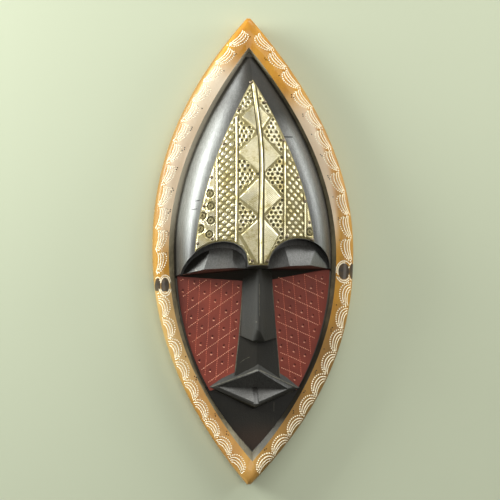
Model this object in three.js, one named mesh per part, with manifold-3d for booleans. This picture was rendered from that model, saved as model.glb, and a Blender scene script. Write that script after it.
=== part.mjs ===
// A carved wooden wall mask with an embossed brass plate nailed to its forehead, lying on its back.
// Millimetres. +Z is the way the face looks, +Y runs towards the crown and +X to the viewer's right.
// The origin is on the back plane, under the middle of the outline.
import * as THREE from 'three';
import { mergeVertices } from 'three/addons/utils/BufferGeometryUtils.js';
import Module from 'manifold-3d';

const wasm = await Module();
wasm.setup();

// The three leaf-shaped lines of the board, each made of four curved quarters between blunt tips.
// A side's `upper` and `lower` say how square its curve is above and below the middle, and `lean`
// how far the line's axis drifts sideways on its way up.
const OUTLINE = {
  halfLength: 180, nominal: 181.5, centreY: 0, axisX: -3.8, lean: 0,
  left: { bulge: 74.2, upper: 2.2, lower: 2.05 },
  right: { bulge: 81.8, upper: 2.0, lower: 2.25 },
};
const RIM_EDGE = {
  halfLength: 159.2, nominal: 159.5, centreY: -2.3, axisX: -2.7, lean: -0.0085,
  left: { bulge: 63.1, upper: 1.95, lower: 2.12 },
  right: { bulge: 66.6, upper: 1.97, lower: 2.14 },
};
const BEVEL_FOOT = {
  halfLength: 153.6, nominal: 154, centreY: 0, axisX: -2.1, lean: -0.008,
  left: { bulge: 58.9, upper: 1.95, lower: 2.4 },
  right: { bulge: 62.8, upper: 1.97, lower: 2.3 },
};
const SIDE_STEPS = 30;

// The rim's profile: how far across from the outside (0) to the inner edge (1), and how high.
const RIM_PROFILE = [[0.2, 0], [0.05, 5], [0, 11], [0.04, 14.6], [0.2, 17.2], [0.5, 18], [1, 17]];
const FIELD = 12;

// Forehead: a gable whose ridge climbs from the crown to the brow.
const CROWN_Y = 150;
const STATION_END_Y = -24;
const STATIONS = 14;
const FLANK_STEPS = 4;
const RIDGE_LOW = 13;
const RIDGE_HIGH = 50;
const RIDGE_FULL_Y = -14;
const RIDGE_SWELL = 2.2;
const RIDGE_X = 1.7;
const RIDGE_LEAN = -5.2;
const GABLE_SLOPE = 0.306;
const SHOULDER_SHARE = 0.3;
const KNEE_SHARE = 0.68;
const TOO_HIGH = 60;

// The brow on the left and on the right: a steep edge, and a slope that runs out from it to the cheek.
const BROWS = [
  {
    edge: [[-9, -12.5, 41], [-54.5, -17.4, 22], [-10, -14.6, 31]],
    slope: [[-8, -14.4, 31.7], [-10, -22.3, 24], [-54.5, -19, 15]],
  },
  {
    edge: [[8.4, -12.5, 41], [55.6, -12.8, 22], [9, -14.5, 31]],
    slope: [[8.3, -14.8, 29.9], [14, -21.5, 23], [57.9, -13.6, 14]],
  },
];

// Eyelids: faceted half-moons in arched recesses. A facet is given by three points on it.
const LIDS = [
  {
    side: -1, outer: [-55, -18], inner: [-8.8, -12.6], height: 17.8, lean: 3.5,
    facets: [
      [[-40.4, -12.9, 38.5], [-18.9, -12.1, 42], [-28, 2.7, 33]],
      [[-40.4, -12.9, 38.5], [-34.5, 1.4, 33.8], [-55, -18, 21.5]],
      [[-18.9, -12.1, 42], [-16.5, 0.3, 35.3], [-8.8, -12.6, 38.5]],
    ],
  },
  {
    side: 1, outer: [56, -13.2], inner: [8.4, -12.8], height: 18, lean: -0.5,
    facets: [
      [[24.7, -11.8, 42.5], [39.8, -11.8, 39.5], [32.3, 4.6, 33]],
      [[24.7, -11.8, 42.5], [18.2, -0.5, 36], [8.4, -12.8, 37]],
      [[39.8, -11.8, 39.5], [46.3, -0.1, 31], [56, -13.2, 21]],
    ],
  },
];
const CHANNEL_INNER = 0.9;
const CHANNEL_OUTER = 2.3;
const CHANNEL_RISE = 4.6;
const CHANNEL_FLOOR = 38;
const CHANNEL_FALL = 0.36;

// Plate: how far its two edges lie from the ridge, and where they end.
const PLATE = { tipY: 132, widestY: -10, left: 49.2, right: 43.4, leftEndY: 3.2, rightEndY: 6.4, endY: -10.2 };
const PLATE_LEFT_CURVE = 1.85;
const PLATE_RIGHT_CURVE = 1.75;
const PLATE_STEPS = 10;
const PLATE_MARGIN = 0.5;
const PLATE_THICKNESS = 0.8;
const PLATE_RELIEF = 0.7;
const GAP = 0.3;
const RIB_WIDTH = 1.6;
const RIBS = [[-15.2, 102], [21.2, 88], [-29.6, 70], [36.6, 54]];
const LOZENGE_TOPS = [114.5, 92, 59.4, 26.8];
const LOZENGE_TALL = 32.6;
const LOZENGE_HALF_WIDTH = 16.5;
const FIRST_LOZENGE_TALL = 23;
const FIRST_LOZENGE_HALF_WIDTH = 12;

// Nails: how far up the plate's edges they stand, and the loose ones over the lids and by the nose.
const NAIL_INSET = 1.9;
const NAILS_LEFT_Y = [108.5, 81.8, 56, 34.5, 6];
const NAILS_RIGHT_Y = [113.7, 84.5, 56.2, 37.9, 22.1, 9];
const NAILS_OTHER = [[-2.9, 129], [-33.9, 9.6], [-4.6, -6.9], [6.2, -7.2], [21.6, 11.4]];
const NAIL_HEAD = 1.3;
const NAIL_HEAD_HEIGHT = 0.9;
const NAIL_SHANK = 0.5;
const NAIL_LENGTH = 6;
const NAIL_HOLE = 0.85;
const NAIL_SIDES = 10;

// Nose, and the pillar that carries it down to the mouth.
const PILLAR = [[-9, -4], [-9.6, -24], [-12.5, -65], [-15.8, -95], [-4, -98], [8, -98], [19.9, -99],
  [16.7, -64], [12.6, -24], [11.5, -4]];
const PILLAR_RIDGE = [[1.9, -24, 27.8], [1, -95, 26.4]];
const PILLAR_FALL = 0.18;
const NOSE = [[-9, -6], [-11.8, -64.5], [-0.1, -69.4], [16, -66.3], [12, -6]];
const NOSE_ROOT = [1.9, -16.6, 38];
const NOSE_TIP = [0.4, -69.4, 46];
const NOSE_LEFT_WING = [-11.8, -60, 29.2];
const NOSE_RIGHT_WING = [15.6, -60, 29.2];
const NOSE_WEAR = { through: [0.6, -58, 44.6], normal: [0.16, -0.34, 1] };

// Cheeks: flat boards that fall away from the nose to the rim.
const CHEEK_NEAR_NOSE = 26;
const CHEEK_FALL = 0.21;
const CHEEK_CLIMB = 0.02;
const CHEEK_INSET = 1.4;
const CHEEK_TOP_Y = -6;
const CHEEK_END_Y = -107;

// Mouth: a raised lozenge with a sunken one in it. Each edge has a bevel of its own.
const MOUTH_LEFT = [-33.6, -104.2, 19.2];
const MOUTH_TOP = [2, -90.6, 29.5];
const MOUTH_RIGHT = [34, -105.4, 19.2];
const MOUTH_BOTTOM = [-0.4, -118.6, 28.5];
const BEVEL_UP = [0, 4.4, -3];
const BEVEL_DOWN = [0, -1.6, -8];
const LIP_CREST = [1.8, -104.5, 31.5];
const HOLLOW_LEFT = [-28.2, -103.4, 20.8];
const HOLLOW_TOP = [2, -91.2, 29.6];
const HOLLOW_RIGHT = [25, -105.8, 22.2];
const HOLLOW_BOTTOM = [1, -115.2, 28.6];
const HOLLOW_DEEP = [0.7, -105.2, 19.5];
const NOTCH = [[-1.3, -116.4], [2.5, -116.4], [2.5, -104.4], [-1.3, -104.4]];
const NOTCH_FLOOR = [[0, -105.2, 18.2], [1, -105.2, 18.2], [0, -115.2, 26.6]];
const CHIN_TOP_Y = -104.4;
const CHIN_OVERLAP = 0.7;
const CHIN_TOP_Z = 14;
const CHIN_END_Z = 12.2;

// The gouged hollow in the back: width and length against the bevel's foot, then shift and height.
const HOLLOW = [[0.95, 0.95, 0, -1], [0.93, 0.93, 0, 2], [0.8, 0.82, 2, 5], [0.62, 0.6, 16, 9],
  [0.46, 0.42, 34, 15], [0.3, 0.26, 46, 20], [0.12, 0.1, 50, 22.5]];

const BLACK_PAINT = { color: 0x1d1b18, roughness: 0.32, metalness: 0 };
const OLD_BRASS = { color: 0xb09a5a, roughness: 0.35, metalness: 0.9 };
const NAIL_STEEL = { color: 0x8d8479, roughness: 0.4, metalness: 0.9 };

// Turns a closed geometry into a solid that can be joined and cut.
function solidOf(geometry) {
  const bare = geometry.clone();
  for (const name of Object.keys(bare.attributes)) {
    if (name !== 'position') {
      bare.deleteAttribute(name);
    }
  }
  const merged = mergeVertices(bare, 1e-4);
  return new wasm.Manifold(new wasm.Mesh({
    numProp: 3,
    vertProperties: Float32Array.from(merged.attributes.position.array),
    triVerts: Uint32Array.from(merged.index.array),
  }));
}

function geometryOf(solid) {
  const mesh = solid.getMesh();
  const geometry = new THREE.BufferGeometry();
  geometry.setAttribute('position', new THREE.BufferAttribute(mesh.vertProperties, 3));
  geometry.setIndex(new THREE.BufferAttribute(mesh.triVerts, 1));
  geometry.computeVertexNormals();
  return geometry;
}

// A closed skin from points and triangles, turned right side out if need be.
function closedSkin(points, index) {
  const geometry = new THREE.BufferGeometry().setFromPoints(points);
  geometry.setIndex(index);
  const solid = solidOf(geometry);
  if (solid.volume() > 0) {
    return solid;
  }
  for (let i = 0; i < index.length; i += 3) {
    [index[i], index[i + 1]] = [index[i + 1], index[i]];
  }
  geometry.setIndex(index);
  return solidOf(geometry);
}

// A skin over rings of points, each end shut by a fan round its middle.
function loft(rings) {
  const size = rings[0].length;
  const points = rings.flat();
  const index = [];
  for (let r = 0; r + 1 < rings.length; r += 1) {
    for (let i = 0; i < size; i += 1) {
      const a = r * size + i;
      const b = r * size + (i + 1) % size;
      index.push(a, b, b + size, a, b + size, a + size);
    }
  }
  for (const [ring, isFirst] of [[0, true], [rings.length - 1, false]]) {
    const middle = new THREE.Vector3();
    rings[ring].forEach((p) => middle.addScaledVector(p, 1 / size));
    points.push(middle);
    for (let i = 0; i < size; i += 1) {
      const a = ring * size + i;
      const b = ring * size + (i + 1) % size;
      index.push(points.length - 1, isFirst ? b : a, isFirst ? a : b);
    }
  }
  return closedSkin(points, index);
}

// An upright block with the given outline, from one height to another.
function block(outline, bottom, top) {
  const shape = new THREE.Shape(outline.map(([x, y]) => new THREE.Vector2(x, y)));
  const geometry = new THREE.ExtrudeGeometry(shape, { depth: top - bottom, bevelEnabled: false });
  return solidOf(geometry.translate(0, 0, bottom));
}

// One flat stroke of the chisel: takes away all that lies beyond a plane.
function chisel(solid, through, normal) {
  const reach = 500;
  const waste = new THREE.BoxGeometry(reach, reach, reach).translate(0, 0, reach / 2);
  const up = new THREE.Vector3(0, 0, 1);
  const facing = new THREE.Vector3(...normal).normalize();
  waste.applyQuaternion(new THREE.Quaternion().setFromUnitVectors(up, facing));
  return solid.subtract(solidOf(waste.translate(...through)));
}

// A stroke through three points. It takes what lies on the side that `towards` points to.
function chiselThrough(solid, [a, b, c], towards = [0, 0, 1]) {
  const [p, q, r] = [a, b, c].map((v) => new THREE.Vector3(...v));
  const normal = q.sub(p).cross(r.sub(p));
  if (normal.dot(new THREE.Vector3(...towards)) < 0) {
    normal.negate();
  }
  return chisel(solid, a, normal.toArray());
}

// Where one side of a leaf-shaped line stands at height y.
function leafX(line, side, y) {
  const { bulge, upper, lower } = side < 0 ? line.left : line.right;
  const up = (y - line.centreY) / line.nominal;
  return line.axisX + line.lean * y + side * bulge * (1 - Math.abs(up) ** (up > 0 ? upper : lower));
}

// A leaf-shaped ring: up the left side and down the right.
function leafRing(line, z) {
  const heights = Array.from({ length: SIDE_STEPS + 1 }, (_, i) => (
    line.centreY + line.halfLength * (2 * i / SIDE_STEPS - 1)));
  const left = heights.map((y) => [leafX(line, -1, y), y]);
  const right = heights.map((y) => [leafX(line, 1, y), y]).reverse();
  return [...left, ...right].map(([x, y]) => new THREE.Vector3(x, y, z));
}

// A ring part of the way across the rim.
function rimRing([share, z]) {
  const inner = leafRing(RIM_EDGE, z);
  return leafRing(OUTLINE, z).map((p, i) => p.lerp(inner[i], share));
}

const makeBoard = () => loft([...RIM_PROFILE.map(rimRing), leafRing(BEVEL_FOOT, FIELD)]);

const makeHollow = () => loft(HOLLOW.map(([wide, long, shift, z]) => (
  leafRing(BEVEL_FOOT, z).map((p) => new THREE.Vector3(p.x * wide, p.y * long + shift, z)))));

// The ridge of the forehead leans a little to the left on its way up.
const ridgeX = (y) => RIDGE_X + RIDGE_LEAN * Math.max(0, (y + 15) / 167) ** 3;

function ridgeZ(y) {
  const away = Math.max(0, (y - RIDGE_FULL_Y) / (CROWN_Y + 4 - RIDGE_FULL_Y));
  return RIDGE_LOW + (RIDGE_HIGH - RIDGE_LOW) * (1 - away ** RIDGE_SWELL);
}

// Half width of the plate at height y, from the ridge to the edge.
function plateReach(y, side) {
  const up = Math.max(0, (y - PLATE.widestY) / (PLATE.tipY - PLATE.widestY));
  const [most, curve] = side < 0 ? [PLATE.left, PLATE_LEFT_CURVE] : [PLATE.right, PLATE_RIGHT_CURVE];
  return most * Math.max(0, 1 - up ** curve);
}

// One side of the gable's profile, from the ridge outwards: a straight slope, then a round flank.
function gableSide(y, side, lift) {
  const [x, z] = [ridgeX(y), ridgeZ(y)];
  const run = Math.abs(leafX(BEVEL_FOOT, side, y) - x);
  const flat = Math.max(plateReach(y, side) + 1, SHOULDER_SHARE * run);
  const knee = flat + KNEE_SHARE * (run - flat);
  const slope = Math.min(GABLE_SLOPE, (z - FIELD) / run);
  const curve = new THREE.QuadraticBezierCurve(
    new THREE.Vector2(flat, z - slope * flat),
    new THREE.Vector2(knee, z - slope * knee),
    new THREE.Vector2(run, FIELD - 0.5),
  );
  return curve.getPoints(FLANK_STEPS).map((p) => [x + side * p.x, p.y + lift]);
}

// The whole gable as a loft of cross-sections, lifted for the plate that lies on it.
function makeGable(lift = 0) {
  const rings = [];
  for (let i = 0; i <= STATIONS; i += 1) {
    const y = CROWN_Y + (STATION_END_Y - CROWN_Y) * (i / STATIONS);
    const left = gableSide(y, -1, lift).reverse();
    const right = gableSide(y, 1, lift);
    const feet = [[right.at(-1)[0], FIELD - 3], [left[0][0], FIELD - 3]];
    const profile = [...left, [ridgeX(y), ridgeZ(y) + lift], ...right, ...feet];
    rings.push(profile.map(([x, z]) => new THREE.Vector3(x, y, z)));
  }
  return loft(rings);
}

// The arched outline of a lid, or of the channel cut round it, closed well below the brow.
function arch(lid, inwards = 0, outwards = 0, rise = 0, steps = 16) {
  const [from, to] = lid.side < 0 ? [lid.inner, lid.outer] : [lid.outer, lid.inner];
  const [growFrom, growTo] = lid.side < 0 ? [inwards, outwards] : [outwards, inwards];
  const points = [];
  for (let i = 0; i <= steps; i += 1) {
    const turn = Math.PI * i / steps;
    const along = (1 - Math.cos(turn)) / 2;
    const grow = Math.cos(turn) * (Math.cos(turn) > 0 ? growFrom : growTo);
    const x = from[0] + (to[0] - from[0]) * along + grow + lid.lean * Math.sin(turn);
    const base = from[1] + (to[1] - from[1]) * along;
    points.push([x, base + (lid.height + rise) * Math.sin(turn)]);
  }
  return [...points, [points.at(-1)[0], -32], [points[0][0], -32]];
}

const makeLid = (lid) => lid.facets.reduce(
  (solid, facet) => chiselThrough(solid, facet), block(arch(lid), FIELD, TOO_HIGH));

function makeChannel(lid) {
  const cutter = block(arch(lid, CHANNEL_INNER, CHANNEL_OUTER, CHANNEL_RISE), FIELD, TOO_HIGH);
  return chisel(cutter, [0, 0, CHANNEL_FLOOR], [-lid.side * CHANNEL_FALL, 0, -1]);
}

function makeForehead() {
  let forehead = makeGable();
  for (const lid of LIDS) {
    forehead = forehead.subtract(makeChannel(lid)).add(makeLid(lid));
  }
  const downwards = [0, -1, 0];
  for (const { edge, slope } of BROWS) {
    forehead = chiselThrough(forehead, edge, downwards).add(chiselThrough(forehead, slope, downwards));
  }
  return forehead;
}

function makePillar() {
  const [[x, y, z]] = PILLAR_RIDGE;
  const slope = (side) => [...PILLAR_RIDGE, [x + side * 10, y, z - 10 * PILLAR_FALL]];
  return chiselThrough(chiselThrough(block(PILLAR, FIELD - 6, TOO_HIGH), slope(-1)), slope(1));
}

function makeNose() {
  const left = [NOSE_ROOT, NOSE_TIP, NOSE_LEFT_WING];
  const right = [NOSE_ROOT, NOSE_TIP, NOSE_RIGHT_WING];
  const nose = chiselThrough(chiselThrough(block(NOSE, FIELD, TOO_HIGH), left), right);
  return chisel(nose, NOSE_WEAR.through, NOSE_WEAR.normal);
}

// A cheek's outline: the rim's curve outside, the pillar inside and the mouth below.
function makeCheek(side) {
  const outline = [[1, CHEEK_END_Y + 10], [1, CHEEK_TOP_Y]];
  const steps = 10;
  for (let i = 0; i <= steps; i += 1) {
    const y = CHEEK_TOP_Y + (CHEEK_END_Y - CHEEK_TOP_Y) * (i / steps);
    outline.push([leafX(BEVEL_FOOT, side, y) - side * CHEEK_INSET, y]);
  }
  const at = (x, y) => [x, y, CHEEK_NEAR_NOSE - CHEEK_FALL * Math.abs(x) + CHEEK_CLIMB * (y + 20)];
  const face = [at(side * 10, -20), at(side * 50, -20), at(side * 20, -90)];
  return chiselThrough(block(outline, FIELD - 6, TOO_HIGH), face);
}

// The chin fills the board's lower end from bevel to bevel.
function makeChin() {
  const steps = 8;
  const endY = -BEVEL_FOOT.halfLength;
  const heights = Array.from({ length: steps + 1 }, (_, i) => CHIN_TOP_Y + (endY - CHIN_TOP_Y) * (i / steps));
  const left = heights.map((y) => [leafX(BEVEL_FOOT, -1, y) - CHIN_OVERLAP, y]);
  const right = heights.map((y) => [leafX(BEVEL_FOOT, 1, y) + CHIN_OVERLAP, y]).reverse();
  const face = [[-30, -106, CHIN_TOP_Z], [30, -106, CHIN_TOP_Z], [0, endY, CHIN_END_Z]];
  return chiselThrough(block([...left, ...right], FIELD - 6, TOO_HIGH), face);
}

function makeMouth() {
  const corners = [MOUTH_LEFT, MOUTH_TOP, MOUTH_RIGHT, MOUTH_BOTTOM];
  const outline = [[-34.6, -104], [2, -78], [35, -105.2], [-0.4, -122]];
  let mouth = block(outline.reverse(), FIELD - 6, TOO_HIGH);
  corners.forEach((corner, i) => {
    const next = corners[(i + 1) % corners.length];
    const slide = i < 1 || i === 1 ? BEVEL_UP : BEVEL_DOWN;
    const beside = new THREE.Vector3(...corner).add(new THREE.Vector3(...slide)).toArray();
    mouth = chiselThrough(mouth, [corner, next, beside], [0, Math.sign(slide[1]), 0.3]);
    mouth = chiselThrough(mouth, [corner, next, LIP_CREST]);
  });
  return mouth;
}

// The sunken lozenge: four facets that fall to its middle, and a notch down the lower lip.
function makeMouthHollow() {
  const deepest = new THREE.Vector3(...HOLLOW_DEEP);
  const lips = [HOLLOW_LEFT, HOLLOW_TOP, HOLLOW_RIGHT, HOLLOW_BOTTOM];
  const raised = lips.map((p) => new THREE.Vector3(...p).sub(deepest).multiplyScalar(1.5).add(deepest));
  const [left, top, right, bottom, deep] = [0, 1, 2, 3, 4];
  const lozenge = closedSkin([...raised, deepest], [
    left, top, deep, top, right, deep, right, bottom, deep, bottom, left, deep,
    left, bottom, top, top, bottom, right,
  ]);
  return lozenge.add(chiselThrough(block(NOTCH, FIELD, TOO_HIGH), NOTCH_FLOOR, [0, 0, -1]));
}

// The surface of the gable under the plate, and a frame that stands square on it.
function onGable(x, y, lift) {
  const height = (u, v) => ridgeZ(v) - GABLE_SLOPE * Math.abs(u - ridgeX(v));
  const step = 0.5;
  const slopeX = (height(x + step, y) - height(x - step, y)) / (2 * step);
  const slopeY = (height(x, y + step) - height(x, y - step)) / (2 * step);
  const normal = new THREE.Vector3(-slopeX, -slopeY, 1).normalize();
  const foot = new THREE.Vector3(x, y, height(x, y)).addScaledVector(normal, lift);
  const turn = new THREE.Quaternion().setFromUnitVectors(new THREE.Vector3(0, 1, 0), normal);
  return new THREE.Matrix4().compose(foot, turn, new THREE.Vector3(1, 1, 1));
}

// Nails stand in from the plate's edge, one after another from the tip down each side.
function nailPlaces() {
  const along = (heights, side) => heights.map((y) => (
    [ridgeX(y) + side * (plateReach(y, side) - NAIL_INSET), y]));
  return [...along(NAILS_LEFT_Y, -1), ...along(NAILS_RIGHT_Y, 1), ...NAILS_OTHER];
}

// A nail about its own axis, with the head's underside at zero.
function nailGeometry() {
  const profile = [[0, -NAIL_LENGTH], [NAIL_SHANK, -NAIL_LENGTH + 1], [NAIL_SHANK, 0], [NAIL_HEAD, 0],
    [NAIL_HEAD * 0.82, NAIL_HEAD_HEIGHT * 0.6], [0, NAIL_HEAD_HEIGHT]];
  return new THREE.LatheGeometry(profile.map(([r, h]) => new THREE.Vector2(r, h)), NAIL_SIDES);
}

// The hole a nail goes through, with room above it for the head.
function nailHole() {
  const profile = [[0, -NAIL_LENGTH - 0.6], [NAIL_HOLE, -NAIL_LENGTH - 0.6], [NAIL_HOLE, -GAP / 2],
    [NAIL_HEAD + GAP, -GAP / 2], [NAIL_HEAD + GAP, 4], [0, 4]];
  return new THREE.LatheGeometry(profile.map(([r, h]) => new THREE.Vector2(r, h)), 8);
}

// The plate's outline: up the left edge to the tip, down the right edge, and back over the lids.
function plateOutline() {
  const edge = (side, endY) => Array.from({ length: PLATE_STEPS + 1 }, (_, i) => {
    const y = endY + (PLATE.tipY - 0.6 - endY) * (i / PLATE_STEPS);
    return [ridgeX(y) + side * Math.max(plateReach(y, side), 1.2), y];
  });
  const left = edge(-1, PLATE.leftEndY);
  const right = edge(1, PLATE.rightEndY).reverse();
  const around = [CHANNEL_INNER, CHANNEL_OUTER, CHANNEL_RISE].map((size) => size + PLATE_MARGIN);
  const overLid = (lid) => arch(lid, ...around, 20)
    .filter(([x, y]) => y > PLATE.endY && x > left[0][0] + 2 && x < right.at(-1)[0] - 2);
  return [...left, ...right, ...overLid(LIDS[1]), ...overLid(LIDS[0])].reverse();
}

// What is hammered up from the sheet: four ribs and a column of lozenges on the ridge.
function embossing() {
  const shapes = RIBS.map(([x, top]) => (
    [[x, -12], [x + RIB_WIDTH, -12], [x + RIB_WIDTH, top], [x, top]]));
  LOZENGE_TOPS.forEach((top, i) => {
    const tall = i ? LOZENGE_TALL : FIRST_LOZENGE_TALL;
    const wide = i ? LOZENGE_HALF_WIDTH : FIRST_LOZENGE_HALF_WIDTH;
    const [middle, waist] = [ridgeX(top - tall / 2), top - tall / 2];
    shapes.push([[middle, top], [middle - wide, waist], [middle, top - tall], [middle + wide, waist]]);
  });
  return shapes.map((outline) => block(outline, 0, TOO_HIGH));
}

function makePlate(outline) {
  const sheet = makeGable(GAP + PLATE_THICKNESS).intersect(outline);
  const raised = makeGable(GAP + PLATE_THICKNESS + PLATE_RELIEF).intersect(outline);
  const relief = embossing().map((shape) => raised.intersect(shape));
  return relief.reduce((plate, form) => plate.add(form), sheet).subtract(makeGable(GAP));
}

function makeWood() {
  const forms = [makeCheek(-1), makeCheek(1), makeChin(), makePillar(), makeMouth(), makeNose(), makeForehead()];
  const wood = forms.reduce((solid, form) => solid.add(form), makeBoard());
  return wood.subtract(makeMouthHollow()).subtract(makeHollow());
}

const body = new THREE.Group();

function addMesh(name, geometry, finish) {
  const mesh = new THREE.Mesh(geometry, new THREE.MeshStandardMaterial(finish));
  mesh.name = name;
  body.add(mesh);
}

let wood = makeWood();
let plate = makePlate(block(plateOutline(), 0, TOO_HIGH));
nailPlaces().forEach(([x, y], i) => {
  const seat = onGable(x, y, GAP + PLATE_THICKNESS + GAP);
  const hole = solidOf(nailHole().applyMatrix4(seat));
  wood = wood.subtract(hole);
  plate = plate.subtract(hole);
  const number = String(i + 1).padStart(2, '0');
  addMesh(`nail_${number}`, geometryOf(solidOf(nailGeometry().applyMatrix4(seat))), NAIL_STEEL);
});
addMesh('carved_wood', geometryOf(wood), BLACK_PAINT);
addMesh('brass_forehead_plate', geometryOf(plate), OLD_BRASS);

export default body;
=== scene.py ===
# %% [markdown]
# # A carved wooden wall mask with a brass plate
#
# The mask is one long leaf of light wood. Its face is carved out of flat chisel strokes: a gabled
# forehead, two half-moon eyelids, a wedge of a nose, flat cheeks and a lozenge of a mouth. It is
# painted black, red and ochre, and a thin embossed sheet of brass is nailed over the forehead.
# This lesson builds it lying on its back, at its real size, in three pieces: wood, sheet and nails.

# %% Load the frame
import math

import bmesh
import bpy
import numpy as np
from mathutils import Matrix, Vector, noise


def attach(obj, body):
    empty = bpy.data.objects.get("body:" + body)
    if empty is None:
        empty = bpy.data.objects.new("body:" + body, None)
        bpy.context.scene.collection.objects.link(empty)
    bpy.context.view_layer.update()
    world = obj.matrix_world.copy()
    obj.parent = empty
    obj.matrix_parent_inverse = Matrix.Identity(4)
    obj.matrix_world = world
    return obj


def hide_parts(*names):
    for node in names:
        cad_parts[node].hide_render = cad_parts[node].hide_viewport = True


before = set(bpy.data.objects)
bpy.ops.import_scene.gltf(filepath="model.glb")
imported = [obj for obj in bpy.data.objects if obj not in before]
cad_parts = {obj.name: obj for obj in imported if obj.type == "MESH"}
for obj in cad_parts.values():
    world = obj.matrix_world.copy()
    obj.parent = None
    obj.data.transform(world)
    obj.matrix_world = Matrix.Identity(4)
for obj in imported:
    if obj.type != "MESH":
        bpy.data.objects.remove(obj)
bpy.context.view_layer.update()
print("frame nodes:", len(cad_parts))

MM = 0.001

# %% [markdown]
# ## Leaf-shaped lines
#
# Three lines run round the board: its outline, the inner edge of the rim and the foot of the bevel
# inside it. Each is made of four curved quarters between blunt tips. One formula gives them all: at
# height y a side stands off the axis by its bulge, times one minus a power of y. The power says how
# square that quarter is. All sizes are in millimetres until a mesh is made.

# %% Leaf-shaped lines
OUTLINE = {
    "half_length": 180, "nominal": 181.5, "centre_y": 0, "axis_x": -3.8, "lean": 0,
    "left": (74.2, 2.2, 2.05), "right": (81.8, 2.0, 2.25),
}
RIM_EDGE = {
    "half_length": 159.2, "nominal": 159.5, "centre_y": -2.3, "axis_x": -2.7, "lean": -0.0085,
    "left": (63.1, 1.95, 2.12), "right": (66.6, 1.97, 2.14),
}
BEVEL_FOOT = {
    "half_length": 153.6, "nominal": 154, "centre_y": 0, "axis_x": -2.1, "lean": -0.008,
    "left": (58.9, 1.95, 2.4), "right": (62.8, 1.97, 2.3),
}


def leaf_x(line, side, y):
    """Where one side (-1 left, 1 right) of a leaf-shaped line stands at height y."""
    bulge, upper, lower = line["left"] if side < 0 else line["right"]
    up = (np.asarray(y, float) - line["centre_y"]) / line["nominal"]
    power = np.where(up > 0, upper, lower)
    return line["axis_x"] + line["lean"] * y + side * bulge * (1 - np.abs(up) ** power)


def leaf_ring(line, z, steps=130):
    """Points round a leaf-shaped line: up the left side and down the right."""
    heights = line["centre_y"] + line["half_length"] * np.linspace(-1, 1, steps + 1)
    left = np.column_stack([leaf_x(line, -1, heights), heights])
    right = np.column_stack([leaf_x(line, 1, heights), heights])[::-1]
    flat = np.vstack([left, right])
    return np.column_stack([flat, np.full(len(flat), float(z))])


print("outline width at the middle:", float(leaf_x(OUTLINE, 1, 0) - leaf_x(OUTLINE, -1, 0)))

# %% [markdown]
# ## Shader maths as Python
#
# A material is a tree of nodes. Writing the maths of a mask as nodes by hand hides it, so a small
# class wraps a socket and overloads the operators: `1 - mask` adds a Math node.

# %% Shader maths as Python


class Value:
    """A number that varies over a surface, as the output of a node."""

    def __init__(self, tree, socket):
        self.tree = tree
        self.socket = socket

    def math(self, operation, *others):
        operands = {i: v for i, v in enumerate((self,) + others)}
        return Value(self.tree, self.tree.node("ShaderNodeMath", {"operation": operation}, operands))

    def __add__(self, other):
        return self.math("ADD", other)

    def __sub__(self, other):
        return self.math("SUBTRACT", other)

    def __mul__(self, other):
        return self.math("MULTIPLY", other)

    def __truediv__(self, other):
        return self.math("DIVIDE", other)

    def __pow__(self, other):
        return self.math("POWER", other)

    def __neg__(self):
        return self.math("MULTIPLY", -1.0)

    def __rsub__(self, other):
        return (-self).math("ADD", other)

    __radd__ = __add__
    __rmul__ = __mul__

    def __abs__(self):
        return self.math("ABSOLUTE")

    def step(self, low, high):
        """Rises smoothly from 0 at low to 1 at high."""
        settings = {"interpolation_type": "SMOOTHSTEP", "clamp": True}
        falls = low > high
        ends = (high, low) if falls else (low, high)
        inputs = {"Value": self, "From Min": ends[0], "From Max": ends[1]}
        risen = Value(self.tree, self.tree.node("ShaderNodeMapRange", settings, inputs))
        return 1 - risen if falls else risen

    def most(self, other):
        return self.math("MAXIMUM", other)

    def least(self, other):
        return self.math("MINIMUM", other)


print("a value can be added, multiplied and stepped")

# %% [markdown]
# ## A tree and a finish
#
# One method makes every other kind of node. A finish is one material: a tree whose coordinates are
# the piece's own, in millimetres, with a method each for noise, for a mix of two colours and for a
# bump. The shader's sockets are set by name, so each finish below reads as a recipe.

# %% A tree and a finish


class Tree:
    """A node tree that is written from Python."""

    def __init__(self, tree):
        self.tree = tree

    def node(self, kind, settings=None, inputs=None, output=0):
        """Makes one node: its settings first, then its sockets. Returns one of its outputs."""
        node = self.tree.nodes.new(kind)
        for name, value in (settings or {}).items():
            setattr(node, name, value)
        for name, value in (inputs or {}).items():
            self.feed(node.inputs[name], value)
        return node.outputs[output]

    def feed(self, socket, value):
        """Links a socket to a value, or sets it."""
        if isinstance(value, Value):
            value = value.socket
        if isinstance(value, bpy.types.NodeSocket):
            self.tree.links.new(value, socket)
        elif isinstance(value, (tuple, list)) and socket.type == "RGBA" and len(value) == 3:
            socket.default_value = (*value, 1.0)
        else:
            socket.default_value = value


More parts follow.
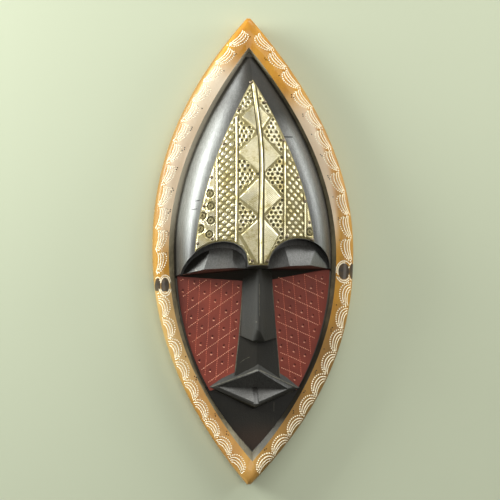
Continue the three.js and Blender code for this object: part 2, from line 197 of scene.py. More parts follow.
class Finish(Tree):
    """A procedural material on the piece's own coordinates, in millimetres."""

    def __init__(self, name):
        self.material = bpy.data.materials.new(name)
        self.material.use_nodes = True
        super().__init__(self.material.node_tree)
        self.shader = self.tree.nodes["Principled BSDF"]
        place = self.node("ShaderNodeTexCoord", output="Object")
        scaled = {0: place, 3: 1 / MM}
        self.place = self.node("ShaderNodeVectorMath", {"operation": "SCALE"}, scaled)
        self.x = Value(self, self.node("ShaderNodeSeparateXYZ", None, {0: self.place}, 0))
        self.y = Value(self, self.node("ShaderNodeSeparateXYZ", None, {0: self.place}, 1))
        self.z = Value(self, self.node("ShaderNodeSeparateXYZ", None, {0: self.place}, 2))

    def noise(self, size, stretch=(1, 1, 1), detail=3.0, roughness=0.55, shift=0.0):
        """Cloudy noise with blotches of about `size` millimetres, stretched along the axes."""
        mapping = {"Vector": self.place, "Scale": tuple(1 / s for s in stretch), "Location": (shift,) * 3}
        vector = self.node("ShaderNodeMapping", None, mapping)
        inputs = {"Vector": vector, "Scale": 1 / size, "Detail": detail, "Roughness": roughness}
        return Value(self, self.node("ShaderNodeTexNoise", None, inputs))

    def mix(self, factor, first, second):
        """A colour between two others."""
        settings = {"data_type": "RGBA", "clamp_factor": True}
        return self.node("ShaderNodeMix", settings, {0: factor, 6: first, 7: second}, 2)

    def bump(self, height, distance, strength=1.0):
        """Feeds the shader's normal from a height in units of `distance` millimetres."""
        inputs = {"Height": height, "Distance": distance * MM, "Strength": strength}
        self.feed(self.shader.inputs["Normal"], self.node("ShaderNodeBump", None, inputs))

    def set(self, **sockets):
        """Sets the shader's sockets: base_color=..., roughness=... and so on."""
        for name, value in sockets.items():
            words = " ".join(word.upper() if word == "ior" else word.capitalize() for word in name.split("_"))
            self.feed(self.shader.inputs[words], value)
        return self


def linear(red, green, blue):
    """A colour given on a screen's scale (0 to 255), as the shader wants it."""
    shares = [c / 255 for c in (red, green, blue)]
    return tuple(c / 12.92 if c < 0.04045 else ((c + 0.055) / 1.055) ** 2.4 for c in shares)


print("expression nodes ready")

# %% [markdown]
# ## Ochre rim paint
#
# The rim has thin yellow-brown paint under varnish. It is browner where dirt has settled, and its
# rounded outer edge is painted browner still as painted shade, most on the left. Beside the forehead
# its inner half carries a painted highlight, an almost white glare. How far across the rim a place
# lies is its distance from the axis over the outline's own formula, so one number says it all the way
# round. Two black ovals stand side by side at the middle of each side. They are paint only, so they
# are masks in the material: an ellipse is a sum of two squares, and the pair on the left ends flat at
# the bottom.

# %% Ochre rim paint
OVALS = [
    {"x": -68.6, "y": -26.4, "wide": 3.1, "tall": 6.2, "foot": -30.4},
    {"x": -74.2, "y": -26.4, "wide": 2.1, "tall": 6.0, "foot": -30.2},
    {"x": 69.9, "y": -15.4, "wide": 4.3, "tall": 6.2, "foot": -30},
    {"x": 76.6, "y": -15.4, "wide": 2.4, "tall": 6.0, "foot": -30},
]
RIM_POWER = 2.1


def ochre_paint():
    finish = Finish("ochre_paint")
    blotch = finish.noise(30, (1, 1.6, 1), 3.0, 0.6)
    grain = finish.noise(1.6, (1, 9, 1), 4.0, 0.6, 7.0)
    dirt = finish.noise(6, (1, 1, 1), 5.0, 0.7, 3.0)
    base = finish.mix(blotch.step(0.35, 0.68), linear(174, 116, 22), linear(200, 144, 36))
    base = finish.mix(grain.step(0.5, 0.75) * 0.35, base, linear(156, 98, 30))
    base = finish.mix(dirt.step(0.56, 0.76) * 0.5, base, linear(132, 104, 36))
    off_axis = abs(finish.x - OUTLINE["axis_x"])
    across_rim = off_axis / (1.0 - abs(finish.y / OUTLINE["nominal"]) ** RIM_POWER)
    left, right = finish.x.step(10, -10), finish.x.step(-10, 10)
    # Painted shade: the rim's rounded outer edge is painted browner, more so on the left.
    base = finish.mix(across_rim.step(69, 75) * (0.45 + left * 0.45), base, linear(138, 102, 44))
    shade = right * finish.y.step(-30, -75) * (0.4 + blotch * 0.5)
    base = finish.mix(shade, base, linear(112, 84, 44))
    pale = left * finish.y.step(-15, -35) * finish.y.step(-120, -80)
    base = finish.mix(pale * (0.3 + blotch * 0.3), base, linear(204, 176, 116))
    # Painted highlight: beside the forehead the rim's inner half is painted almost white, as glare.
    polish_and_glare = left * finish.y.step(-15, 35) * finish.y.step(155, 130)
    polish_and_glare = polish_and_glare + right * finish.y.step(-5, 30) * finish.y.step(128, 96)
    polish_and_glare = across_rim.step(72.5, 67) * (polish_and_glare * 0.85 + left * finish.y.step(-10, -30) * 0.12)
    base = finish.mix(polish_and_glare * (0.55 + blotch * 0.65), base, linear(232, 216, 192))
    oval = None
    for mark in OVALS:
        across = (finish.x - mark["x"]) / mark["wide"]
        along = (finish.y - mark["y"]) / mark["tall"]
        inside = (across * across + along * along).step(1.15, 0.9)
        inside = inside * (finish.y + grain * 0.8).step(mark["foot"] - 0.1, mark["foot"] + 0.5)
        oval = inside if oval is None else oval.most(inside)
    base = finish.mix(oval * (1.1 - dirt * 0.4), base, linear(34, 34, 32))
    rough = 0.42 + dirt * 0.2
    finish.bump(grain * 0.6 + dirt * 0.5, 0.12, 0.5)
    return finish.set(base_color=base, roughness=rough, specular_ior_level=0.35, coat_weight=0.2).material


print("ovals on the rim:", len(OVALS))

# %% [markdown]
# ## Worn edges, scratches and nicks
#
# The paint is rubbed off along the proud edges, scratched in a few places and nicked in others. They
# could be painted by hand on an image. All of them are short straight lines in plan, though, so a mask
# for one is the distance to a line, and the list can be changed at any time.

# %% Worn edges, scratches and nicks
WORN_EDGES = [
    ((-9.8, -26.0), (-12.5, -65.0)), ((-12.5, -65.0), (-15.3, -92.0)),
    ((12.6, -26.0), (16.7, -64.0)), ((16.7, -64.0), (19.4, -96.0)),
    ((-33.0, -103.8), (2.0, -90.2)), ((2.0, -90.2), (33.4, -105.0)),
    ((-31.0, -107.0), (-0.4, -118.8)), ((-0.4, -118.8), (31.0, -108.0)),
]


def near_line(finish, start, end, width):
    """1 on a line between two points of the plan, falling to 0 at the given distance from it."""
    (x0, y0), (x1, y1) = start, end
    length = math.hypot(x1 - x0, y1 - y0)
    ux, uy = (x1 - x0) / length, (y1 - y0) / length
    along = (finish.x - x0) * ux + (finish.y - y0) * uy
    off = abs((finish.x - x0) * uy - (finish.y - y0) * ux)
    return off.step(width, width * 0.25) * along.step(-0.5, 1.0) * along.step(length + 0.5, length - 1.0)


SCRATCHES = [
    ((-11.8, -85.3), (-8, -82.4), 0.3), ((-8.2, -82.5), (-4.1, -80.6), 0.3),
    ((15.8, -116.2), (15.8, -123.9), 0.3), ((-46.4, -13.6), (-45.4, -15.2), 0.8),
    ((-1.6, -53.4), (-0.4, -53.2), 0.7), ((1.7, -24.0), (1.5, -49.0), 0.25),
]
NICKS = [
    ((-46.6, 38.2), (-42.6, 39.0), 0.5), ((-49.6, 31.6), (-45.0, 32.4), 0.5),
    ((20.5, 87.4), (28.9, 87.6), 0.8), ((0.9, -18.5), (0.7, -50.3), 0.4),
]


def along_lines(finish, lines):
    """1 on any of some lines, each two points and a width."""
    mask = None
    for start, end, width in lines:
        line = near_line(finish, start, end, width)
        mask = line if mask is None else mask.most(line)
    return mask


print("lines of wear:", len(WORN_EDGES) + len(SCRATCHES) + len(NICKS))

# %% [markdown]
# ## Black and red paint
#
# The face is satin black, brushed on along the grain, so its reflections are streaked. Its gloss is a
# second coat on the shader. That coat is thin below the brow and at the crown, where the paint is
# matt, and below the brow the black is painted darker as painted shade. A broad pale grey sheen is
# painted on the left flank as a painted highlight. Inside the rim the narrow bevel is painted light
# olive grey as a painted reflection, near white at the upper left, with painted shade along its foot.
# The cheeks are brick red.

# %% Black and red paint
EDGE_WEAR_WIDTH = 0.6
FACE_Z = (12, 13)
BROW_Y, BROW_BEND_X, BROW_FALL = -12.6, -9, 0.108
MOUTH_MIDDLE, MOUTH_HALF = (1, -104), (29, 14)


def black_paint():
    finish = Finish("black_paint")
    brush = finish.noise(1.1, (1, 14, 1), 4.0, 0.65)
    cloud = finish.noise(24, (1, 1.4, 1), 4.0, 0.6, 11.0)
    speck = finish.noise(0.9, (1, 1, 1), 2.0, 0.7, 5.0)
    wear = finish.noise(2.4, (1, 1, 1), 3.0, 0.7, 2.0)
    base = finish.mix(cloud.step(0.4, 0.72), linear(28, 26, 21), linear(44, 39, 31))
    base = finish.mix(brush.step(0.55, 0.8) * 0.4, base, linear(66, 60, 48))
    base = finish.mix(speck.step(0.68, 0.76) * 0.3, base, linear(112, 102, 84))
    # Painted highlight: a broad pale grey sheen on the left flank.
    painted_sheen = finish.x.step(-16, -32) * finish.y.step(0, 30) * finish.y.step(120, 96) * (0.3 + brush * 0.6)
    base = finish.mix(painted_sheen, base, linear(104, 105, 98))
    edge = along_lines(finish, [(*line, EDGE_WEAR_WIDTH) for line in WORN_EDGES])
    broken = 0.2 + 0.5 * wear.step(0.36, 0.62)
    base = finish.mix(edge * broken, base, linear(128, 122, 98))
    in_front = finish.z.step(*FACE_Z)
    base = finish.mix(along_lines(finish, SCRATCHES) * in_front * broken, base, linear(164, 158, 138))
    nicks = along_lines(finish, NICKS) * in_front
    base = finish.mix(nicks * 0.9, base, linear(12, 11, 9))
    low = (finish.y - (finish.x - BROW_BEND_X).least(0.0) * BROW_FALL).step(BROW_Y, BROW_Y - 1)
    crown = finish.y.step(84, 108) * finish.x.step(-16, -2)
    across, along = abs(finish.x - MOUTH_MIDDLE[0]), abs(finish.y - MOUTH_MIDDLE[1])
    mouth = (across / MOUTH_HALF[0] + along / MOUTH_HALF[1]).step(1.05, 0.9)
    matt = (low * (1 - mouth)).most(crown).most(nicks)
    # Painted shade: below the brow the black is painted darker.
    base = finish.mix(low * 0.55, base, linear(26, 24, 19))
    base = finish.mix(finish.y.step(-128, -146) * cloud.step(0.3, 0.6) * 0.6, base, linear(58, 40, 28))
    rough = 0.42 + cloud * 0.08 + brush * 0.12 + matt * 0.1
    finish.bump(brush * 0.7 + speck * 1.1 + cloud * 2.0, 0.2, 0.8)
    finish.set(base_color=base, roughness=rough, specular_ior_level=0.28)
    streak = (brush * 0.7 + speck * 0.5).step(0.4, 0.8)
    gloss = (1 - matt * 0.95) * (0.62 + streak * 0.5)
    return finish.set(coat_weight=gloss, coat_roughness=0.46, coat_ior=2.0).material


def bevel_paint():
    """The narrow bevel inside the rim: black paint lightened to olive grey as a painted reflection, near
    white at the upper left as a painted highlight, and with painted shade along its foot.
    """
    finish = Finish("bevel_painted_reflection")
    cloud = finish.noise(13, (1, 1.3, 1), 4.0, 0.65, 5.0)
    fine = finish.noise(1.3, (1, 5, 1), 4.0, 0.7, 9.0)
    # Painted reflection: the black bevel is painted light olive grey.
    base = finish.mix(cloud.step(0.34, 0.66), linear(112, 104, 82), linear(152, 142, 114))
    base = finish.mix(fine.step(0.5, 0.75) * 0.5, base, linear(170, 160, 132))
    # Towards the lower right the painted reflection gives way to near black.
    base = finish.mix(finish.x.step(-6, 8) * finish.y.step(-30, -75) * 0.92, base, linear(46, 42, 32))
    # Painted highlight: near white at the upper left.
    upper_left_glare = finish.x.step(0, -14) * finish.y.step(-5, 40)
    base = finish.mix(upper_left_glare * 0.8, base, linear(204, 196, 176))
    # Painted shade: a dark line in the crease along the bevel's foot.
    foot = (finish.z + fine * 1.2).step(13.8, 12.8)
    base = finish.mix(foot * (0.85 - upper_left_glare * 0.45), base, linear(38, 35, 28))
    finish.bump(fine + cloud, 0.1, 0.5)
    return finish.set(base_color=base, roughness=0.5 + fine * 0.15).material


def red_paint():
    finish = Finish("red_paint")
    cloud = finish.noise(22, (1, 1, 1), 4.0, 0.6, 1.0)
    brush = finish.noise(1.4, (1, 9, 1), 4.0, 0.6, 4.0)
    dust = finish.noise(0.8, (1, 1, 1), 3.0, 0.7, 9.0)
    base = finish.mix(cloud.step(0.35, 0.7), linear(106, 34, 17), linear(124, 45, 25))
    base = finish.mix(brush.step(0.5, 0.8) * 0.4, base, linear(102, 38, 24))
    base = finish.mix(dust.step(0.62, 0.8) * 0.3, base, linear(170, 98, 76))
    rough = 0.5 + cloud * 0.15
    finish.bump(brush * 0.5 + dust * 0.3 + cloud, 0.14, 0.5)
    return finish.set(base_color=base, roughness=rough).material


print("black, bevel and red paint ready")

# %% [markdown]
# ## Bare and cut wood
#
# The back is left bare: pale hardwood with long grain. Where the carver's punch cut through the rim's
# paint the wood shows almost white, and through the red paint it shows pinkish brown.

# %% Bare and cut wood


def bare_wood():
    finish = Finish("bare_wood")
    rings = finish.noise(5.0, (1, 14, 3), 3.0, 0.6)
    pores = finish.noise(0.7, (1, 12, 1), 2.0, 0.7, 6.0)
    stain = finish.noise(60, (1, 1, 1), 3.0, 0.6, 8.0)
    base = finish.mix(rings.step(0.35, 0.65), linear(196, 158, 108), linear(172, 130, 82))
    base = finish.mix(pores.step(0.6, 0.75) * 0.5, base, linear(120, 84, 50))
    base = finish.mix(stain.step(0.5, 0.75) * 0.4, base, linear(138, 102, 66))
    finish.bump(rings * 0.6 + pores * 0.4, 0.2, 0.6)
    return finish.set(base_color=base, roughness=0.62 + rings * 0.15).material


def cut_wood(name, light, dark):
    finish = Finish(name)
    fibre = finish.noise(0.5, (1, 4, 1), 3.0, 0.7)
    base = finish.mix(fibre.step(0.35, 0.7), light, dark)
    return finish.set(base_color=base, roughness=0.6 + fibre * 0.15).material


PAINTS = {
    "ochre": ochre_paint(),
    "black": black_paint(),
    "red": red_paint(),
    "bevel": bevel_paint(),
    "bare": bare_wood(),
    "cut": cut_wood("fresh_cut", linear(255, 249, 232), linear(248, 236, 205)),
    "scored": cut_wood("scored_red", linear(232, 178, 148), linear(194, 118, 92)),
    "faintly_scored": cut_wood("faintly_scored_red", linear(206, 120, 94), linear(170, 82, 62)),
    "pit": cut_wood("dark_pit", linear(112, 46, 34), linear(80, 30, 22)),
}
print("wood finishes:", ", ".join(PAINTS))

# %% [markdown]
# ## Solids from rings
#
# A closed skin over rings of points makes the curved forms. A subdivided cage would round them as
# well, but a skin stays on the measured lines. The rings run from the outside of a form to its middle
# or from one end to the other, and a paint is chosen for each strip between two rings.

# %% Solids from rings


def as_object(name, data, *paints):
    """A mesh, a lamp or a camera as an object of the scene, with its paints if it has any."""
    for paint in paints:
        data.materials.append(PAINTS[paint])
    thing = bpy.data.objects.new(name, data)
    bpy.context.scene.collection.objects.link(thing)
    return thing


def skin(name, rings, paints, paint_of=lambda row: 0):
    """A closed skin over rings of points. `paint_of` gives the paint's number between two rings."""
    size = len(rings[0])
    faces = [list(range(size))[::-1], [(len(rings) - 1) * size + i for i in range(size)]]
    slots = [paint_of(-1), paint_of(len(rings) - 1)]
    for r in range(len(rings) - 1):
        for i in range(size):
            a, b = r * size + i, r * size + (i + 1) % size
            faces.append([a, b, b + size, a + size])
            slots.append(paint_of(r))
    mesh = bpy.data.meshes.new(name)
    mesh.from_pydata((np.vstack(rings) * MM).tolist(), [], faces)
    mesh.polygons.foreach_set("material_index", slots)
    solid = as_object(name, mesh, *paints)
    make_outward(mesh)
    return solid


def make_outward(mesh):
    """Turns a closed mesh's faces so that they all point out."""
    form = bmesh.new()
    form.from_mesh(mesh)
    bmesh.ops.recalc_face_normals(form, faces=form.faces)
    if form.calc_volume(signed=True) < 0:
        bmesh.ops.reverse_faces(form, faces=form.faces)
    form.to_mesh(mesh)
    form.free()


print("skins ready")

# %% [markdown]
# ## Blocks and chisel strokes
#
# A carver starts from a sawn block and takes off what lies beyond each stroke. The class below does
# the same with planes. How wide an edge is to be rounded is noted on the edge itself, and one Bevel
# modifier rounds them all at the end. A Boolean joins the forms.

# %% Blocks and chisel strokes
EDGE_WIDTH = "bevel_weight_edge"
WIDEST = 6.0
ROUND_SEGMENTS, ROUND_PROFILE = 4, 0.55


class Block:
    """An outline pulled up into a block, and worked with a chisel."""

    def __init__(self, outline, bottom, top):
        self.form = bmesh.new()
        foot = [self.form.verts.new((x, y, bottom)) for x, y in outline]
        head = [self.form.verts.new((x, y, top)) for x, y in outline]
        self.form.faces.new(foot)
        self.form.faces.new(head)
        for i in range(len(outline)):
            j = (i + 1) % len(outline)
            self.form.faces.new((foot[i], foot[j], head[j], head[i]))
        bmesh.ops.recalc_face_normals(self.form, faces=self.form.faces)

    def chisel(self, through, normal):
        """Takes away what lies beyond a plane, and closes the cut."""
        everything = list(self.form.verts) + list(self.form.edges) + list(self.form.faces)
        cut = bmesh.ops.bisect_plane(
            self.form, geom=everything, dist=1e-5, plane_co=through, plane_no=normal, clear_outer=True)
        edges = [e for e in cut["geom_cut"] if isinstance(e, bmesh.types.BMEdge)]
        bmesh.ops.edgenet_fill(self.form, edges=edges)
        bmesh.ops.recalc_face_normals(self.form, faces=self.form.faces)
        return self

    def chisel_through(self, points, towards=(0, 0, 1)):
        """A stroke through three points. It takes the side that `towards` points to."""
        a, b, c = (Vector(p) for p in points)
        normal = (b - a).cross(c - a)
        if normal.dot(Vector(towards)) < 0:
            normal.negate()
        return self.chisel(a, normal)

    def ease(self, width, least_turn=12, above=None, where=None):
        """Notes how wide the edges are to be rounded, as paint and handling round them."""
        layers = self.form.edges.layers.float
        layer = layers.get(EDGE_WIDTH) or layers.new(EDGE_WIDTH)
        for edge in self.form.edges:
            ends = [v.co for v in edge.verts]
            if len(edge.link_faces) != 2 or edge.calc_face_angle(0) < math.radians(least_turn):
                continue
            if above is not None and min(p.z for p in ends) < above:
                continue
            if where is None or where(*ends):
                edge[layer] = width / WIDEST
        return self

    def solid(self, name, paint):
        mesh = bpy.data.meshes.new(name)
        bmesh.ops.scale(self.form, vec=(MM, MM, MM), verts=self.form.verts)
        self.form.to_mesh(mesh)
        self.form.free()
        make_outward(mesh)
        solid = as_object(name, mesh, paint)
        if EDGE_WIDTH in mesh.attributes:
            rounded = solid.modifiers.new("ease", "BEVEL")
            rounded.limit_method = "WEIGHT"
            rounded.width = WIDEST * MM
            rounded.segments = ROUND_SEGMENTS
            rounded.profile = ROUND_PROFILE
            settle(solid)
        return solid


def settle(solid):
    """Makes what a piece's modifiers show its own plain mesh."""
    shown = solid.evaluated_get(bpy.context.evaluated_depsgraph_get())
    mesh = bpy.data.meshes.new_from_object(shown)
    solid.modifiers.clear()
    solid.data = mesh
    return solid


def join(solid, tool, operation="UNION"):
    """Joins a tool to a solid or takes it away, and drops the tool."""
    cut = solid.modifiers.new("join", "BOOLEAN")
    cut.operation = operation
    cut.solver = "MANIFOLD"
    cut.material_mode = "TRANSFER"
    cut.object = tool
    settle(solid)
    bpy.data.objects.remove(tool)
    return solid


print("edges are rounded in", ROUND_SEGMENTS, "segments")

# %% [markdown]
# ## The board
#
# The board's rim is a rounded roll. Its section is a short list of points, how far across from the
# outside to the inner edge and how high, and a smooth curve is run through them. The rings of the
# skin follow the outline outside and the rim's edge inside, so the roll narrows and widens with them.

# %% The board
RIM_PROFILE = [(0.2, 0), (0.05, 5), (0, 11), (0.04, 14.6), (0.2, 17.2), (0.5, 18), (1, 17)]
RIM_STEPS = 5
LIP_MIX, LIP_Z = (0.86, 0.14), 16.2
RIM_WAVE_DEPTH, RIM_WAVE_LENGTH = 0.16, 23
FIELD = 12
TOO_HIGH = 60
OCHRE, BEVEL, BARE = range(3)


def smooth_curve(points, steps):
    """A curve through points, each stretch split in equal steps."""
    given = np.array(points, float)
    ends = np.vstack([2 * given[0] - given[1], given, 2 * given[-1] - given[-2]])
    curve = []
    for i in range(1, len(ends) - 2):
        before, start, end, after = ends[i - 1:i + 3]
        for k in range(steps):
            t = k / steps
            curve.append(0.5 * (
                2 * start + (end - before) * t + (2 * before - 5 * start + 4 * end - after) * t * t
                + (3 * start - before - 3 * end + after) * t ** 3))
    return np.vstack([curve, given[-1]])


def wobble(x, y, z, size):
    """How far a hand-worked surface strays, between about -1 and 1."""
    return noise.noise(Vector((x / size, y / size, z / size)))


def make_board():
    profile = smooth_curve(RIM_PROFILE, RIM_STEPS)
    rings = []
    for share, z in profile:
        share = max(share, 0.0)
        ring = (1 - share) * leaf_ring(OUTLINE, z) + share * leaf_ring(RIM_EDGE, z)
        rings.append(ring)
    lip = LIP_MIX[0] * leaf_ring(RIM_EDGE, 0) + LIP_MIX[1] * leaf_ring(BEVEL_FOOT, 0)
    lip[:, 2] = LIP_Z
    rings.append(lip)
    rings.append(leaf_ring(BEVEL_FOOT, FIELD))
    for ring in rings[RIM_STEPS:-2]:
        for point in ring:
            point[2] += RIM_WAVE_DEPTH * wobble(*point, RIM_WAVE_LENGTH)
    rim_rows = len(profile) - 1

    def paint_of(row):
        if row < 0:
            return BARE
        return OCHRE if row < rim_rows else BEVEL

    return skin("board", rings, ["ochre", "bevel", "bare"], paint_of)


wood = make_board()
print("board faces:", len(wood.data.polygons))

# %% [markdown]
# ## The forehead
#
# The forehead is a gable. Its ridge climbs from the crown to the brow, its sides fall away straight
# under the brass and then turn down in a round flank. A cross-section at height y is worked out by a
# function, so the brass sheet can be laid on the same surface later.

# %% The forehead
CROWN_Y = 150
STATION_END_Y = -24
STATIONS = 110
RIDGE_LOW, RIDGE_HIGH = 13, 50
RIDGE_FULL_Y = -14
RIDGE_SWELL = 2.2
RIDGE_X, RIDGE_LEAN = 1.7, -5.2
LEAN_FROM_Y, LEAN_OVER = -15, 167
GABLE_SLOPE = 0.306
SHOULDER_SHARE, KNEE_SHARE = 0.3, 0.68
SLOPE_STEPS, FLANK_STEPS = 8, 22
WAVE_START, WAVE_DEPTH, WAVE_LENGTH, WAVE_STRETCH = 6, 0.22, 17, 1.8

PLATE_TIP_Y, PLATE_WIDEST_Y, PLATE_END_Y = 132, -10, -10.2
PLATE_REACH = {-1: (49.2, 1.85), 1: (43.4, 1.75)}


def ridge_x(y):
    """The ridge leans a little to the left on its way up."""
    up = (np.asarray(y, float) - LEAN_FROM_Y) / LEAN_OVER
    return RIDGE_X + RIDGE_LEAN * np.maximum(0, up) ** 3


def ridge_z(y):
    away = np.maximum(0, (np.asarray(y, float) - RIDGE_FULL_Y) / (CROWN_Y + 4 - RIDGE_FULL_Y))
    return RIDGE_LOW + (RIDGE_HIGH - RIDGE_LOW) * (1 - away ** RIDGE_SWELL)


def plate_reach(y, side):
    """Half width of the brass plate at height y, from the ridge to its edge."""
    most, curve = PLATE_REACH[side]
    up = np.maximum(0, (np.asarray(y, float) - PLATE_WIDEST_Y) / (PLATE_TIP_Y - PLATE_WIDEST_Y))
    return most * np.maximum(0, 1 - up ** curve)


def gable_side(y, side):
    """One side of the gable's section, from the ridge outwards."""
    x, z = float(ridge_x(y)), float(ridge_z(y))
    run = abs(float(leaf_x(BEVEL_FOOT, side, y)) - x)
    flat = max(float(plate_reach(y, side)) + 1, SHOULDER_SHARE * run)
    knee = flat + KNEE_SHARE * (run - flat)
    slope = min(GABLE_SLOPE, (z - FIELD) / run)
    points = [(flat * i / SLOPE_STEPS, z - slope * flat * i / SLOPE_STEPS) for i in range(1, SLOPE_STEPS)]
    start, bend, end = (flat, z - slope * flat), (knee, z - slope * knee), (run, FIELD - 0.5)
    for i in range(FLANK_STEPS + 1):
        t = i / FLANK_STEPS
        points.append(tuple(
            (1 - t) ** 2 * a + 2 * t * (1 - t) * b + t * t * c for a, b, c in zip(start, bend, end)))
    surface = []
    for u, h in points:
        depth = min(1.0, max(0.0, (u - flat) / WAVE_START)) * WAVE_DEPTH
        wave = depth * wobble(x + side * u, y / WAVE_STRETCH, h, WAVE_LENGTH)
        surface.append((x + side * u, h + wave))
    return surface


def make_gable():
    rings = []
    for y in np.linspace(CROWN_Y, STATION_END_Y, STATIONS + 1):
        left = gable_side(y, -1)[::-1]
        right = gable_side(y, 1)
        feet = [(right[-1][0], FIELD - 3), (left[0][0], FIELD - 3)]
        profile = left + [(float(ridge_x(y)), float(ridge_z(y)))] + right + feet
        rings.append(np.array([(x, y, z) for x, z in profile]))
    return skin("forehead", rings, ["black"])


forehead = make_gable()
print("forehead faces:", len(forehead.data.polygons))

# %% [markdown]
# ## Eyelids and brow
#
# Each eyelid is a half-moon block in an arched channel, cut to three facets. On either side the brow
# ends in a steep edge, and below it a slope runs out to the cheek. The sharp edges are rounded by
# about a millimetre, because that thin round edge is what catches the light.

# %% Eyelids and brow
BROWS = [
    {"edge": [(-9, -12.5, 41), (-54.5, -17.4, 22), (-10, -14.6, 31)],
     "slope": [(-8, -14.4, 31.7), (-10, -22.3, 24), (-54.5, -19, 15)]},
    {"edge": [(8.4, -12.5, 41), (55.6, -12.8, 22), (9, -14.5, 31)],
     "slope": [(8.3, -14.8, 29.9), (14, -21.5, 23), (57.9, -13.6, 14)]},
]
LIDS = [
    {"side": -1, "outer": (-55, -18), "inner": (-8.8, -12.6), "height": 17.8, "lean": 3.5, "facets": [
        [(-40.4, -12.9, 38.5), (-18.9, -12.1, 42), (-28, 2.7, 33)],
        [(-40.4, -12.9, 38.5), (-34.5, 1.4, 33.8), (-55, -18, 21.5)],
        [(-18.9, -12.1, 42), (-16.5, 0.3, 35.3), (-8.8, -12.6, 38.5)]]},
    {"side": 1, "outer": (56, -13.2), "inner": (8.4, -12.8), "height": 18, "lean": -0.5, "facets": [
        [(24.7, -11.8, 42.5), (39.8, -11.8, 39.5), (32.3, 4.6, 33)],
        [(24.7, -11.8, 42.5), (18.2, -0.5, 36), (8.4, -12.8, 37)],
        [(39.8, -11.8, 39.5), (46.3, -0.1, 31), (56, -13.2, 21)]]},
]
CHANNEL_INNER, CHANNEL_OUTER, CHANNEL_RISE = 0.9, 2.3, 4.6
CHANNEL_FLOOR, CHANNEL_FALL = 38, 0.36
EDGE_EASE = 0.6
BROW_EASE = 1.3
LID_PROUD = 0.03


def arch(lid, inwards=0.0, outwards=0.0, rise=0.0, steps=44):
    """The arched outline of a lid, or of the channel round it, closed well below the brow."""
    left = lid["side"] < 0
    start, end = (lid["inner"], lid["outer"]) if left else (lid["outer"], lid["inner"])
    grow_start, grow_end = (inwards, outwards) if left else (outwards, inwards)
    points = []
    for i in range(steps + 1):
        turn = math.pi * i / steps
        along = (1 - math.cos(turn)) / 2
        grow = math.cos(turn) * (grow_start if math.cos(turn) > 0 else grow_end)
        x = start[0] + (end[0] - start[0]) * along + grow + lid["lean"] * math.sin(turn)
        base = start[1] + (end[1] - start[1]) * along
        points.append((x, base + (lid["height"] + rise) * math.sin(turn)))
    return points + [(points[-1][0], -32), (points[0][0], -32)]


def off_plane(point, points):
    """How far a point lies from the plane through three others."""
    a, b, c = (Vector(p) for p in points)
    return abs((Vector(point) - a).dot((b - a).cross(c - a).normalized()))


def make_lid(lid):
    edge = [(x, y - LID_PROUD, z) for x, y, z in BROWS[0 if lid["side"] < 0 else 1]["edge"]]
    block = Block(arch(lid), FIELD, TOO_HIGH)
    for facet in lid["facets"]:
        block.chisel_through(facet)
    block.chisel_through(edge, (0, -1, 0)).ease(EDGE_EASE, above=FIELD + 1)
    block.ease(BROW_EASE, 30, FIELD + 8, lambda *ends: max(off_plane(p, edge) for p in ends) < 0.01)
    return block.solid("lid", "black")


def make_channel(lid):
    block = Block(arch(lid, CHANNEL_INNER, CHANNEL_OUTER, CHANNEL_RISE), FIELD, TOO_HIGH)
    return block.chisel((0, 0, CHANNEL_FLOOR), (-lid["side"] * CHANNEL_FALL, 0, -1)).solid("channel", "black")


def under_brow(brow):
    """What is cut away in front of a brow's edge and above its slope."""
    block = Block([(-90, -60), (90, -60), (90, 10), (-90, 10)], 0, 2 * TOO_HIGH)
    block.chisel_through(brow["edge"], (0, 1, 0)).chisel_through(brow["slope"], (0, 1, 0))
    return block.solid("under_brow", "black")


for lid in LIDS:
    join(forehead, make_channel(lid), "DIFFERENCE")
for brow in BROWS:
    join(forehead, under_brow(brow), "DIFFERENCE")
for lid in LIDS:
    join(forehead, make_lid(lid))
print("forehead with lids:", len(forehead.data.polygons), "faces")

# %% [markdown]
# ## Nose, pillar, cheeks and chin
#
# The nose is a wedge of two facets with its tip worn flat. The low pillar that carries it runs down
# to the mouth. The cheeks are two flat boards that fall away to the rim, and the chin fills the end.

# %% Nose, pillar, cheeks and chin
PILLAR = [(-9, -4), (-9.6, -24), (-12.5, -65), (-15.8, -95), (-4, -98), (8, -98), (19.9, -99),
          (16.7, -64), (12.6, -24), (11.5, -4)]
PILLAR_RIDGE = [(1.9, -24, 27.8), (1, -95, 26.4)]
PILLAR_FALL = 0.18
NOSE = [(-9, -6), (-11.8, -64.5), (-0.1, -69.4), (16, -66.3), (12, -6)]
NOSE_ROOT, NOSE_TIP = (1.9, -16.6, 38), (0.4, -69.4, 46)
NOSE_LEFT_WING, NOSE_RIGHT_WING = (-11.8, -60, 29.2), (15.6, -60, 29.2)
NOSE_WEAR = ((0.6, -58, 44.6), (0.16, -0.34, 1))
NOSE_EASE, RIDGE_EASE = 0.7, 3.6
CHEEK_NEAR_NOSE, CHEEK_FALL, CHEEK_CLIMB, CHEEK_INSET = 26, 0.21, 0.02, 1.4
CHEEK_TOP_Y, CHEEK_END_Y = -6, -107
CHIN_TOP_Y, CHIN_OVERLAP, CHIN_TOP_Z, CHIN_END_Z = -104.4, 0.7, 14, 12.2


def make_pillar():
    block = Block(PILLAR, FIELD - 6, TOO_HIGH)
    x, y, z = PILLAR_RIDGE[0]
    for side in (-1, 1):
        block.chisel_through(PILLAR_RIDGE + [(x + side * 10, y, z - 10 * PILLAR_FALL)])
    return block.ease(EDGE_EASE, 8, above=FIELD).solid("pillar", "black")


